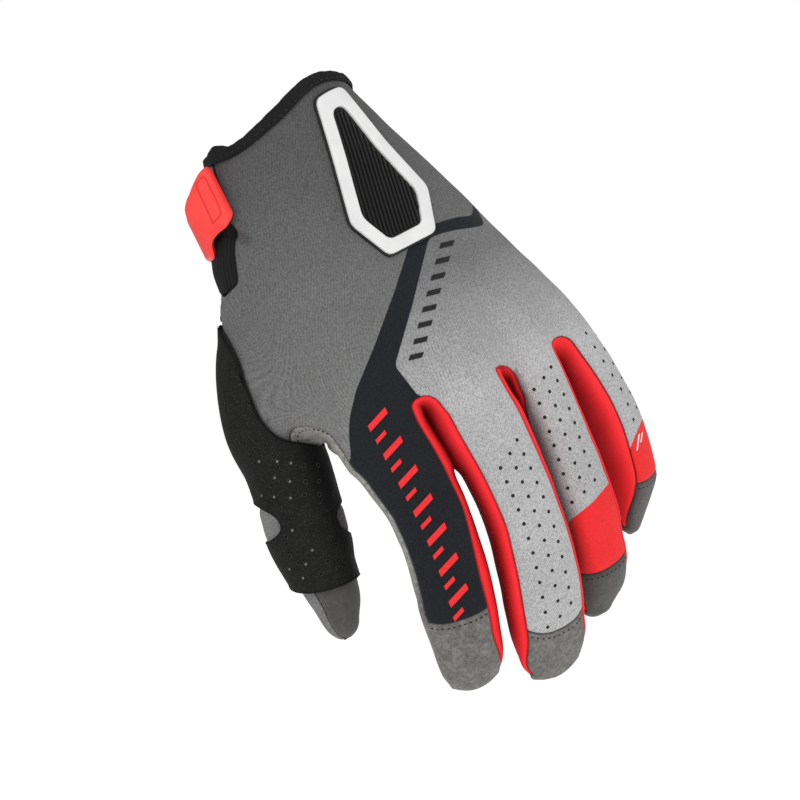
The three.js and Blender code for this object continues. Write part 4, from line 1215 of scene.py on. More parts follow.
# The black patch round the thumb, from its seam down, with a scallop in each long edge
LAYER_GAP = 0.45
PATCH_BOTTOM = (137.8, 145.4)
PATCH_DIP = 1.7
PATCH_EDGES = (205, -18)
PATCH_LIFT = 1.5
PATCH_THICK = 0.95
# How far it reaches past the seam: where round the thumb that grows, is most and ends, and their reach
PATCH_OVER = 1.3
PATCH_OVER_ROWS = 6
OVER_GROWS = (40, 40)
OVER_MOST = (118, 20)
OVER_ENDS = (150, 30)
# Where it lies lower: across it as a share, and along the thumb
TIGHT_ACROSS = (0.6, 0.3)
TIGHT_ALONG = (132, 8)
# How near it hugs the cloth, how far past the seam, and from where round the thumb
HUG_LIFT = 1.05
HUG_REACH = 9
HUG_FROM = (55, 25)
HUG_PASSES = 6
PATCH_ROUND = (0.4, 0.8)
# Each scallop: its middle along the thumb, its reach above and below, and its depth in degrees
OUTER_SCALLOP = (118.8, 8, 6, 86)
INNER_SCALLOP = (121.3, 2.8, 9.2, 50)
PATCH_COLUMNS = 150
PATCH_BASE_ROWS = 60
PATCH_LOWER_ROWS = 84


def scallop(edge, along):
    """How far a scallop cuts into the patch, in degrees."""
    middle, above, below, depth = edge
    t = np.clip((along - middle) / np.where(along < middle, above, below), -1, 1)
    return depth * (1 - np.abs(t) ** 2.4) ** 0.6


def patch_bottom(u):
    """How far along the thumb the patch ends, at a share of the way across it."""
    return mix(PATCH_BOTTOM[0], PATCH_BOTTOM[1], u) + PATCH_DIP * np.sin(np.pi * u)


def hug_skin(points, share):
    """Points brought down to just above the cloth by a share."""
    points = points.copy()
    for i, j in np.argwhere(share > 0.01):
        place, normal = skin_tree.find_nearest(Vector(points[i, j]))[:2]
        points[i, j] = mix(points[i, j], np.array(place + normal * HUG_LIFT), share[i, j])
    return points


def make_patch():
    """The patch as a plate: rows past the seam, rows down to the full thumb and rows below it."""
    u = np.linspace(0, 1, PATCH_COLUMNS + 1)[None, :]
    plain = mix(PATCH_EDGES[0], PATCH_EDGES[1], u)
    base = np.linspace(0, 1, PATCH_BASE_ROWS + 1)[:, None]
    start = seam_along(plain)
    upper_along = mix(start, THUMB_FULL, base)
    share = np.linspace(0, 1, PATCH_LOWER_ROWS + 1)[1:, None]
    lower_along = mix(THUMB_FULL, patch_bottom(u), share)
    along = np.concatenate([upper_along, lower_along])
    cut = np.where(along > THUMB_FULL, 1.0, 0.0)
    angle = plain - cut * scallop(OUTER_SCALLOP, along) * (1 - u) ** 2
    angle = angle + cut * scallop(INNER_SCALLOP, along) * u**2
    tight = ramp(u, *TIGHT_ACROSS) * ramp(along, *TIGHT_ALONG)
    points = on_thumb(angle, along, PATCH_LIFT - tight)
    # A few rows carried past the seam onto the hand, most of all half way up the thumb's base
    most = fade(plain - OVER_MOST[0], OVER_MOST[1])
    reach = PATCH_OVER * (0.4 + 0.6 * ramp(plain, *OVER_GROWS) + most)
    reach = reach * (1 - 0.95 * ramp(plain, *OVER_ENDS))
    over = np.linspace(1, 0, PATCH_OVER_ROWS + 1)[:-1, None, None]
    points = np.concatenate([points[0] + unit(points[0] - points[2]) * reach[..., None] * over, points])
    beyond = np.concatenate([np.zeros((PATCH_OVER_ROWS, PATCH_COLUMNS + 1)), along - start])
    hug = (1 - smooth(beyond / HUG_REACH)) * ramp(plain, *HUG_FROM)
    points = hug_skin(points, hug)
    for _ in range(HUG_PASSES):
        inner = (points[:-2] + 2 * points[1:-1] + points[2:]) / 4
        points[1:-1] = mix(points[1:-1], inner, hug[1:-1, :, None])
    return plate(points, "thumb_patch", PATCH_THICK, *PATCH_ROUND)


patch = make_patch()
mark_openness_for_shade(patch)
extras["thumb_patch"] = ("thumb_overlay", patch)

# The binding folded over the cloth's top edge, gathered at the gusset
BINDING_OUT = 1.4
BINDING_IN = -2.6
BINDING_WALL = 0.9
BINDING_OVER = 2.4
BINDING_ABOVE = 1.5
# Where it is wider and where it is narrower: the middle angle and the reach
BINDING_BANDS = ((105, 28), (35, 20))
BAND_RISE = 1.1
BAND_FALL = 0.5
BAND_SHORTER = 0.9
# Its small ripples: how many go round the wrist, and their depth
BINDING_RIPPLES = ((23, 0.1), (41, 0.07))
# Where its stitches run, below the rim
BINDING_SEWN = 1.15
GATHER_RISE = 2
GATHER_ANGLE = 168
GATHER_HALF = 9
BINDING_FACETS = 300


def binding_profile(top, over):
    """The binding's section, as distances outwards and upwards, closed."""
    turn = np.radians(np.linspace(0, 90, 6))
    round_out = [(BINDING_OUT - 1 + math.cos(a), top - 1 + math.sin(a)) for a in turn]
    round_in = [(BINDING_IN + 1 - math.sin(a), top - 1 + math.cos(a)) for a in turn]
    groove = -over * 0.48
    outside = [(BINDING_OUT - 0.35, -over), (BINDING_OUT, -over + 0.3),
               (BINDING_OUT + 0.04, groove - 0.4), (BINDING_OUT - 0.16, groove),
               (BINDING_OUT + 0.04, groove + 0.4), (BINDING_OUT, (top - 1) * 0.4)]
    inside = [(BINDING_IN, -BINDING_OVER + 0.3), (BINDING_IN + 0.35, -BINDING_OVER),
              (BINDING_IN + BINDING_WALL, -BINDING_OVER), (BINDING_IN + BINDING_WALL, 0.5),
              (BINDING_OUT - BINDING_WALL, 0.5), (BINDING_OUT - BINDING_WALL, -BINDING_OVER)]
    section = outside + round_out + round_in + inside
    return section + section[:1]


def make_binding():
    """The binding as a band of sections round the wrist opening."""
    angle = np.linspace(0, 360, BINDING_FACETS + 1)
    base = hand_point(angle, 0)
    outward = on_hand(angle, 0, 1) - base
    up = unit(base - hand_point(angle, 2))
    gather = fade(angle - GATHER_ANGLE, GATHER_HALF)
    sections = []
    for i in range(len(angle)):
        slack = sum(depth * math.sin(math.radians(angle[i] * waves)) for waves, depth in BINDING_RIPPLES)
        wide, narrow = (math.exp(-(((angle[i] - at) / half) ** 2)) for at, half in BINDING_BANDS)
        top = BINDING_ABOVE + GATHER_RISE * gather[i] + slack * 0.5 + BAND_RISE * wide - BAND_FALL * narrow
        section = np.array(binding_profile(top, BINDING_OVER - BAND_SHORTER * narrow))
        swell = (section[:, 0] > 0) * (0.35 * gather[i] + slack * 0.6)
        out = section[:, :1] + swell[:, None]
        sections.append(base[i] + outward[i] * out + up[i] * section[:, 1:])
    sections[-1] = sections[0]
    return closed_band(np.stack(sections), "rim_binding")


binding = make_binding()
extras["rim_binding"] = ("cuff_binding", binding)
binding_tree = surface_tree([binding])
binding_line = on_hand(np.linspace(0, 360, 400), BINDING_SEWN, BINDING_OUT)

# The strap round the palm side of the wrist and the rubber tab at its end
STRAP = table("angle top bottom", [(243, 14, 31), (290, 11, 29), (335, 8, 26.5), (352, 9, 25.5)])
STRAP_THICK = 1.8
STRAP_LIFT = LAYER_GAP + STRAP_THICK
STRAP_FROM, STRAP_TO = STRAP["angle"][[0, -1]]
# The tab as it shows: its right and left edges, and its upper and lower edge by the distance from the right
TAB_RIGHT = -25.2
TAB_LEFT = -40.1
TAB_EDGES = table("inset top bottom", [
    (0, 1.7, 19.9), (1.1, 1.3, 20.3), (4.6, 2.4, 22.3), (8.3, 5, 23.3), (11.1, 7.5, 24.9),
    (12.3, 8.4, 26.6), (12.9, 9, 29.3), (13.7, 10, 30.9), (14.4, 11.3, 31.3), (14.9, 14, 31.4),
])
TAB_CORNER = 1.9
# Its depth in the view: at the right edge, by how far along it lies, and at the left edge
TAB_NEAR = -17.2
TAB_NEAR_RISE = -0.78
TAB_FAR = -10
TAB_BACK = 241
TAB_BACK_ENDS = (14, 31)
# How strongly it runs straight on where it turns round the wrist, and where it meets the strap
TAB_LEAVES = 18
TAB_ARRIVES = 16
TAB_THICK = 1.5
TAB_ROLL = 1.2
TAB_ROLL_REACH = 2.3
TAB_GROOVE = [
    (-28.9, 4.6), (-31.9, 5.7), (-32.4, 7.5), (-32.5, 14.2), (-32.8, 20), (-30.6, 19.2), (-29.1, 18.3),
    (-28.5, 16.2), (-28.3, 13), (-28.4, 8.3), (-28.4, 5.5),
]
GROOVE_DEEP = 0.2
GROOVE_WIDE = 0.4


def strap_edges(angle):
    """How far along the strap's upper and lower edges lie at an angle round the wrist."""
    return curve(STRAP, "angle", "top", angle), curve(STRAP, "angle", "bottom", angle)


def make_strap():
    """The strap as a plate that follows the palm side of the wrist."""
    u = np.linspace(0, 1, 161)[None, :]
    v = np.linspace(0, 1, 61)[:, None]
    angle = mix(STRAP_FROM, STRAP_TO, u)
    points = on_hand(angle + 0 * v, mix(*strap_edges(angle), v), STRAP_LIFT)
    return plate(points, "palm_strap", STRAP_THICK, 0.45, 0.8)


def make_tab():
    """A rubber plate that lies on the cuff, turns round the wrist's edge and runs back to the strap."""
    turn = np.sin(np.radians(90 * np.linspace(0, 1, 141) ** 1.4))[None, :]
    v = np.linspace(0, 1, 101)[:, None]
    inset = (TAB_RIGHT - TAB_LEFT) * turn
    from_corner = np.maximum(1 - inset / TAB_CORNER, 0)
    cut = TAB_CORNER * (1 - np.sqrt(1 - from_corner**2))
    top = curve(TAB_EDGES, "inset", "top", inset) + cut
    bottom = curve(TAB_EDGES, "inset", "bottom", inset) - cut
    along = mix(top, bottom, v)
    across = TAB_RIGHT - inset + 0 * v
    near = TAB_NEAR + TAB_NEAR_RISE * (along - TAB_EDGES["top"][0])
    front = from_view(across, along, mix(TAB_FAR, near, np.sqrt(1 - turn**2)))
    side = front[:, -1:]
    end_along = mix(TAB_BACK_ENDS[0], TAB_BACK_ENDS[1], v)
    end = on_hand(TAB_BACK + 0 * v, end_along, STRAP_LIFT)
    end_slope = unit(end - on_hand(TAB_BACK - 3 + 0 * v, end_along, STRAP_LIFT))
    t = np.linspace(0, 1, 61)[None, 1:, None]
    back = cubic(side, np.array(AWAY) * TAB_LEAVES, end, end_slope * TAB_ARRIVES, t)
    part = grid_of(np.concatenate([front, back], axis=1), "rubber_tab")
    mesh = part.data
    co, normals = coordinates(mesh), vertex_normals(mesh)
    roll = TAB_ROLL * edge_roll(mesh, co, TAB_ROLL_REACH)
    groove = distance_to_line(seen(co), TAB_GROOVE + TAB_GROOVE[:1])
    cut = GROOVE_DEEP * fade(groove, GROOVE_WIDE) * smooth(facing(normals) * 4)
    write_floats(mesh, "groove", groove)
    set_coordinates(mesh, co - normals * (roll + cut)[:, None])
    thicken(part, TAB_THICK)
    return part


strap = make_strap()
extras["palm_strap"] = ("wrist_strap", strap)
tab = make_tab()
extras["rubber_tab"] = ("pull_tab", tab)

# The guard on the back of the wrist: a rim round a ribbed insert, bent to the hand
GUARD_TILT = math.radians(2.5)
GUARD_GAP = 0.5
GUARD_CORNERS = [(-6, -25), (6, -25), (16.6, 12), (10, 26.6), (-10, 26.6), (-16.6, 12)]
CORNER_CUT = 2.2
RIM_WIDE = 4.6
RIM_HIGH = 1.6
EDGE_POINTS = 16
CORNER_POINTS = 7
RIB_PITCH = 1.45
RIB_WIDE = 1.0
RIB_TILT = math.radians(15)
RIB_STEPS = 40
RIB_FACETS = 10
# How many ribs are tried to each side of the middle, and how far along a rib its ends are looked for
RIB_SIDE_COUNT = 12
RIB_SEARCH = 36
RIB_SEARCH_STEP = 0.2
# The fewest steps that make a rib, its gap to the edge, its rounded end, and how deep it sits and how high
RIB_FEWEST = 12
RIB_MARGIN = 0.55
RIB_END = 0.8
RIB_SUNK = 0.4
RIB_HIGH = 0.75
SHEET_HIGH = 0.45


def guard_outline(inset):
    """The guard's outline drawn in by inset, its corners rounded."""
    spots = np.array(GUARD_CORNERS, float)
    edges = unit(np.roll(spots, -1, 0) - spots)
    inward = np.stack([-edges[:, 1], edges[:, 0]], -1)
    before = np.roll(inward, 1, 0)
    spread = (before + inward) / (1 + np.sum(before * inward, 1))[:, None]
    corner = spots + spread * inset
    outline = []
    for i in range(len(corner)):
        last, here, after = corner[i - 1], corner[i], corner[(i + 1) % len(corner)]
        start = here + unit(last - here) * CORNER_CUT
        end = here + unit(after - here) * CORNER_CUT
        next_start = after + unit(here - after) * CORNER_CUT
        for t in np.linspace(0, 1, CORNER_POINTS)[:-1]:
            outline.append((1 - t) ** 2 * start + 2 * t * (1 - t) * here + t * t * end)
        for t in np.linspace(0, 1, EDGE_POINTS)[:-1]:
            outline.append(mix(end, next_start, t))
    return np.array(outline)


def on_back(across, down, lift):
    """A point over the back of the hand, found where the section reaches the wanted x."""
    across, down = same_shape(across, down)
    x = GUARD_X + across * math.cos(GUARD_TILT) + down * math.sin(GUARD_TILT)
    along = GUARD_ALONG + down * math.cos(GUARD_TILT) - across * math.sin(GUARD_TILT)
    low, high = np.full(x.shape, 20.0), np.full(x.shape, 160.0)
    for _ in range(30):
        middle = (low + high) / 2
        further = hand_point(middle, along)[..., 0] > x
        low, high = np.where(further, middle, low), np.where(further, high, middle)
    return on_hand(low, along, np.broadcast_to(lift, x.shape))


def guard_ring(profile, name):
    """A closed ring round the guard from pairs of inset and lift."""
    rows = []
    for inset, lift in profile + profile[:1]:
        outline = guard_outline(inset)
        rows.append(on_back(outline[:, 0], outline[:, 1], lift))
    points = np.stack(rows, 1)
    return closed_band(np.concatenate([points, points[:1]]), name)


def make_guard_rim():
    """The pale rim, its edges rounded."""
    high = GUARD_GAP + RIM_HIGH
    outer = [(0, GUARD_GAP), (0, high - 0.45), (0.1, high - 0.2), (0.45, high - 0.02), (0.9, high)]
    inner = [(RIM_WIDE - 0.9, high), (RIM_WIDE - 0.45, high - 0.04), (RIM_WIDE - 0.12, high - 0.25),
             (RIM_WIDE, high - 0.55), (RIM_WIDE, GUARD_GAP)]
    return guard_ring(outer + inner, "guard_rim")


def make_guard_base():
    """The dark base that shows as a thin line round the rim."""
    return guard_ring([(-0.55, 0.1), (-0.55, 0.85), (-0.3, 1.05), (0.6, 1.05), (0.6, 0.1)], "guard_base")


def make_guard_insert():
    """The sheet inside the rim and the slanting ribs on it."""
    outline = guard_outline(RIM_WIDE - 0.3)
    rows = [on_back(outline[:, 0], outline[:, 1], GUARD_GAP)]
    for share in (1, 0.85, 0.6, 0.3, 0.001):
        rows.append(on_back(outline[:, 0] * share, outline[:, 1] * share, GUARD_GAP + SHEET_HIGH))
    points = np.stack(rows, 1)
    sheet = closed_band(np.concatenate([points, points[:1]]), "insert_sheet")
    ribs = [sheet]
    along = np.array([-math.sin(RIB_TILT), math.cos(RIB_TILT)])
    side = np.array([along[1], -along[0]])
    turn = np.linspace(0, 2 * np.pi, RIB_FACETS + 1)
    fine = np.arange(-RIB_SEARCH, RIB_SEARCH, RIB_SEARCH_STEP)[:, None]
    for k in range(-RIB_SIDE_COUNT, RIB_SIDE_COUNT + 1):
        offset = side * (k * RIB_PITCH)
        within = inside_distance(offset + along * fine, [tuple(p) for p in outline]) > RIB_MARGIN
        if within.sum() < RIB_FEWEST:
            continue
        start, last = fine[within].min(), fine[within].max()
        t = mix(start, last, np.linspace(0, 1, RIB_STEPS + 1))
        end = np.minimum(np.minimum(t - start, last - t) / RIB_END, 1)
        girth = np.sqrt(np.maximum(1 - (1 - end) ** 2, 0))[:, None]
        across, down = (offset[i] + along[i] * t[:, None] + side[i] * np.cos(turn) * RIB_WIDE / 2 * girth
                        for i in range(2))
        lift = GUARD_GAP + RIB_SUNK + np.sin(turn) * RIB_HIGH * girth
        ribs.append(closed_band(on_back(across, down, lift), "rib"))
    return join_parts(ribs, "guard_ribs", None)


extras["guard_rim"] = ("guard_frame", make_guard_rim())
extras["guard_ribs"] = ("guard_insert", make_guard_insert())
guard_base = make_guard_base()

# Stitches, holes and printed marks: the fine stitch's length and width, and the pitches of the rows
FINE_STITCH = (1.1, 0.5)
CAP_ROW = 1.6
CAP_PITCH = 1.9
THUMB_PITCH = 1.8
PATCH_PITCH = 2.2
PATCH_BOTTOM_PITCH = 2.0
BINDING_PITCH = 2.5
STRAP_PITCH = 2.6
# How far the strap's stitches run inside its ends and its edges
STRAP_SEWN_ENDS = 2
STRAP_SEWN_EDGES = 1.9
# The rows beside the thumb's seams: their angles, and the distances along between which they run
THUMB_ROW_ANGLES = (118, -100)
THUMB_ROW_ENDS = (141, 154)
HOLE_ACROSS = 1.15
LIP_ACROSS = 1.3
GLINT_ACROSS = 0.86
GLINT_SHIFT = (0.12, 0.2)
PATCH_KEEL = [(-50, 68.9), (-51.8, 72.6), (-53.7, 78.5), (-55, 82.9), (-57, 89.5)]
PATCH_HOLES = [
    (-53.9, 97), (-48.6, 99.6), (-44.8, 102.1), (-41.2, 105), (-37, 106.9), (-51.7, 104.1),
    (-47.8, 107.4), (-43.1, 109.9), (-39, 111.8), (-58.2, 107.5), (-54.7, 109.7), (-50, 112.4),
    (-45.4, 113.8), (-40.8, 115.7), (-36.7, 117.7), (-54.8, 119.2), (-54.2, 122.2), (-56.9, 123.4),
    (-51.2, 131), (-58.6, 129.6), (-55.1, 134.2), (-48.2, 136.7), (-60.7, 133.3), (-62.5, 136.7),
    (-58, 137.9), (-52, 139.5), (-46.1, 140.1),
]
LIT_HOLES = (0, 1, 2, 5, 6, 9, 10, 11, 16, 18, 20, 22, 24)
# Columns of round marks down the fingers: a line in the view and how many marks lie on it
DOT_COLUMNS = [
    ([(25.6, 128.5), (25.5, 139.2), (25, 149.9), (23.8, 160.4), (21.7, 170.4), (19.2, 180.1),
      (17.7, 184.6)], 12),
    ([(21.5, 131.5), (21, 142.2), (20.3, 152.7), (18.9, 163.1), (16.7, 173.1), (14, 182.6),
      (12.5, 187)], 12),
    ([(16.6, 134.4), (16.2, 144.7), (15.3, 155), (13.6, 165.2), (11.2, 175), (8.6, 184.1),
      (7.3, 188.4)], 12),
    ([(38, 116.1), (37.1, 125.9), (35.7, 135.6), (34.3, 145.5), (32.7, 155)], 9),
    ([(42.6, 114), (42, 123.8), (40.6, 133.7), (39.3, 143.8), (37.9, 153.7)], 9),
    ([(46.3, 111.9), (46.1, 121.8), (45.2, 131.5), (43.8, 141.5), (42.7, 151.7)], 9),
    ([(61.6, 107), (63.8, 128.7), (63.6, 134.1), (63, 139.5)], 7),
    ([(64.3, 109), (66, 130.7), (65.7, 136.4)], 6),
]
DOT_ACROSS = 1.25
MARK_LIFT = 0.09
MARK_THICK = 0.12
MARK_MESH = 0.45
# The bars down a line in the view: their direction, then each one's length, width and shift
STRIPE_SPINE = [(33.6, 59.6), (8.2, 88.2)]
STRIPE_SIDE = (0.97, 0.22)
STRIPE_SIZES = [(4.6, 1.9, 0.4)] * 8
FINGER_SPINE = [(-12.6, 101), (-12, 120), (-11.6, 140), (-13.2, 158), (-15.4, 170)]
FINGER_SIDE = (0.93, -0.36)
FINGER_SIZES = [(8.4, 2.2, 0), (4.6, 1.5, -1.9)] * 7
LITTLE_SPINE = [(60.6, 147), (62.4, 146)]
LITTLE_SIDE = (0.55, -0.84)
LITTLE_SIZES = [(5.2, 0.8, 0), (3.2, 0.7, 0)]


def spread(line, count):
    """Spots at an even pitch along a flat line, from end to end."""
    line = np.asarray(line, float)
    run = run_of(line)
    return on_line(line, run, np.linspace(0, run[-1], count))


def mark_places(tree, spots, proud=0.0):
    """Transforms for marks laid on a surface at spots in the view."""
    found = []
    for spot in spots:
        place, normal = cast(tree, spot)
        if place is not None:
            found.append(placing(place + normal * proud, normal, ACROSS))
    return found


def cap_stitches():
    """A row of stitches across each fingertip, just past the cloth's end."""
    places = []
    for name in ("index", "middle", "ring", "little"):
        digit = DIGITS[name]
        share = np.linspace(0.03, 0.97, 60)
        along = digit["cap"] + cap_bow(digit, share) + CAP_ROW
        line = digit_point(digit, along, sector_angle(digit, "back", along, share))
        places += stitch_places(skin_tree, line, CAP_PITCH)
    return copies(stitch_model(*FINE_STITCH), places, "cap_stitches")


def thumb_stitches():
    """The rows beside the thumb's two seams and round the suede at the thumb's crotch."""
    places = []
    along = np.linspace(*THUMB_ROW_ENDS, 34)
    for angle in THUMB_ROW_ANGLES:
        line = digit_point(DIGITS["thumb"], along, angle + 0 * along)
        places += stitch_places(skin_tree, line, THUMB_PITCH)
    t = np.linspace(0.02, 0.98, 120)
    places += stitch_places(skin_tree, thumb_fold(np.full_like(t, 0.09), t), THUMB_PITCH)
    return copies(stitch_model(*FINE_STITCH), places, "thumb_stitches")


def patch_stitches():
    """The rows of stitches on the patch, and its punched holes with their lips and glints."""
    tree = surface_tree([patch])
    places = stitch_places(tree, cast_line(tree, PATCH_KEEL), PATCH_PITCH)
    u = np.linspace(0.03, 0.97, 120)
    line = on_thumb(mix(*PATCH_EDGES, u), patch_bottom(u) - 2, PATCH_LIFT)
    places += stitch_places(tree, line, PATCH_BOTTOM_PITCH)
    plain = mix(*PATCH_EDGES, np.linspace(0.1, 0.91, 160))
    line = on_thumb(plain, seam_along(plain) + 1.2, PATCH_LIFT)
    places += stitch_places(tree, line, PATCH_PITCH)
    stitches = copies(stitch_model(1.3, 0.4), places, "patch_stitches")
    lips = copies(hole_model(LIP_ACROSS), mark_places(tree, PATCH_HOLES, 0.02), "patch_hole_lips")
    holes = copies(disc_model(HOLE_ACROSS, 0.08), mark_places(tree, PATCH_HOLES), "patch_holes")
    lit = [(PATCH_HOLES[i][0] + GLINT_SHIFT[0], PATCH_HOLES[i][1] + GLINT_SHIFT[1]) for i in LIT_HOLES]
    glints = copies(disc_model(GLINT_ACROSS, 0.07), mark_places(tree, lit, 0.04), "patch_hole_glints")
    return stitches, lips, holes, glints


def binding_stitches():
    places = stitch_places(binding_tree, binding_line, BINDING_PITCH, -0.02)
    return copies(stitch_model(1.6, 0.4), places, "binding_stitches")


def strap_stitches():
    """A row of stitches along each edge of the strap."""
    tree = surface_tree([strap])
    places = []
    angle = np.linspace(STRAP_FROM + STRAP_SEWN_ENDS, STRAP_TO - STRAP_SEWN_ENDS, 160)
    top, bottom = strap_edges(angle)
    for along in (top + STRAP_SEWN_EDGES, bottom - STRAP_SEWN_EDGES):
        places += stitch_places(tree, on_hand(angle, along, STRAP_LIFT), STRAP_PITCH)
    return copies(stitch_model(1.7), places, "strap_stitches")


def print_bar(corners_of_bar):
    """A printed bar: a thin sheet laid on the cloth between four corners in the view."""
    a, b, c, d = (np.array(p, float) for p in corners_of_bar)
    across = max(int(np.linalg.norm(b - a) / MARK_MESH), 2)
    down = max(int(np.linalg.norm(d - a) / MARK_MESH), 2)
    rows = []
    for v in np.linspace(0, 1, down + 1):
        row = []
        for u in np.linspace(0, 1, across + 1):
            place, normal = cast(skin_tree, mix(mix(a, b, u), mix(d, c, u), v))
            if place is None:
                return None
            row.append(place + normal * MARK_LIFT)
        rows.append(row)
    part = grid_of(np.array(rows))
    thicken(part, MARK_THICK)
    return part


def bar_row(spine, side, sizes, name):
    """Slanted bars down a spine line. Side is the bars' direction, and sizes has one row for each."""
    spots = spread(spine, len(sizes))
    along = unit(np.array(spine[-1], float) - np.array(spine[0], float))
    side = unit(np.array(side, float))
    bars = []
    for spot, (long, wide, shift) in zip(spots, sizes):
        start = spot + side * (shift - long / 2)
        end = start + side * long
        bars.append(print_bar([start, end, end + along * wide, start + along * wide]))
    return join_parts([bar for bar in bars if bar], name, None)


patch_sewing, patch_lips, patch_holes, patch_glints = patch_stitches()
stripe_bars = bar_row(STRIPE_SPINE, STRIPE_SIDE, STRIPE_SIZES, "stripe_bars")
finger_bars = bar_row(FINGER_SPINE, FINGER_SIDE, FINGER_SIZES, "finger_bars")
little_bars = bar_row(LITTLE_SPINE, LITTLE_SIDE, LITTLE_SIZES, "little_bars")
dot_spots = [spot for line, count in DOT_COLUMNS for spot in spread(line, count)]
finger_dots = copies(disc_model(DOT_ACROSS, 0.07), mark_places(skin_tree, dot_spots), "finger_dots")


# Materials. Colours are given as they look on a screen, from 0 to 255.
def colour(red, green, blue):
    linear = []
    for level in (red / 255, green / 255, blue / 255):
        linear.append(level / 12.92 if level <= 0.04045 else ((level + 0.055) / 1.055) ** 2.4)
    return (*linear, 1)


def new_material(name, **sockets):
    material = bpy.data.materials.new(name)
    material.use_nodes = True
    tree = material.node_tree
    shader = tree.nodes["Principled BSDF"]
    for socket, value in sockets.items():
        shader.inputs[socket.replace("_", " ")].default_value = value
    return material, tree, shader


def add_node(tree, kind, inputs=(), **settings):
    made = tree.nodes.new("ShaderNode" + kind)
    for key, value in settings.items():
        setattr(made, key, value)
    for key, value in dict(inputs).items():
        socket = made.inputs[key]
        if isinstance(value, bpy.types.NodeSocket):
            tree.links.new(value, socket)
        else:
            socket.default_value = value
    return made


def attribute(tree, name):
    return add_node(tree, "Attribute", attribute_name=name).outputs["Fac"]


def between(tree, value, low, high, start=0.0, end=1.0):
    """Value's way from low to high, as a number from start to end."""
    inputs = {"Value": value, "From Min": low, "From Max": high, "To Min": start, "To Max": end}
    return add_node(tree, "MapRange", inputs, clamp=True).outputs["Result"]


def by_layer(tree, name, low, high, start=0.0, end=1.0):
    """The same for a value that is stored with the mesh."""
    return between(tree, attribute(tree, name), low, high, start, end)


def maths(tree, operation, a, b):
    return add_node(tree, "Math", {0: a, 1: b}, operation=operation).outputs[0]


def blend(tree, share, a, b, kind="MIX"):
    made = add_node(tree, "Mix", {0: share, 6: a, 7: b}, data_type="RGBA", blend_type=kind)
    return made.outputs[2]


def mottled(tree, cloud, a, b):
    """Two tones mixed by a cloudy value."""
    return blend(tree, between(tree, cloud, 0.35, 0.65), a, b)


def place_on(tree):
    return add_node(tree, "TexCoord").outputs["Object"]


def place_parts(tree):
    """The X, Y and Z of the place on the object, in metres."""
    return add_node(tree, "SeparateXYZ", {0: place_on(tree)}).outputs


def grain(tree, scale, detail=2.0, rough=0.5, vector=None):
    """Cloudy noise. Scale is per metre."""
    inputs = {"Vector": vector or place_on(tree), "Scale": scale, "Detail": detail, "Roughness": rough}
    return add_node(tree, "TexNoise", inputs).outputs["Fac"]


def thread_waves(tree, pitch, turn):
    """Fine parallel threads at a pitch in millimetres, turned by degrees from the cloth's own run."""
    run = add_node(tree, "UVMap", uv_map="threads").outputs["UV"]
    inputs = {"Vector": run, "Rotation": (0, 0, math.radians(turn))}
    turned = add_node(tree, "Mapping", inputs).outputs["Vector"]
    inputs = {"Vector": turned, "Scale": math.pi / 10 / pitch, "Distortion": 0.6, "Detail": 1.0,
              "Detail Scale": 3.0}
    return add_node(tree, "TexWave", inputs, wave_type="BANDS", bands_direction="X").outputs["Fac"]


def raise_by(tree, shader, height, distance, strength=1.0):
    """Sends a height to the shader's normal, its full step given in millimetres."""
    inputs = {"Height": height, "Distance": distance * MM, "Strength": strength}
    tree.links.new(add_node(tree, "Bump", inputs).outputs["Normal"], shader.inputs["Normal"])


def shade_from(tree, shader, result):
    tree.links.new(result, shader.inputs["Base Color"])


# Each grey's shaded and lit tone: painted shade towards the wrist and the knuckles, painted light towards
# the thumb and the fingers
DARK_GREY_SHADED = colour(80, 80, 80)
DARK_GREY_LIT = colour(114, 114, 113)
LIGHT_GREY_SHADED = colour(108, 108, 108)
LIGHT_GREY_LIT = colour(170, 170, 170)
PRINT_BLACK = colour(27, 29, 33)
PRINT_RED = colour(230, 44, 46)
SEAM_SHADOW = colour(24, 24, 25)


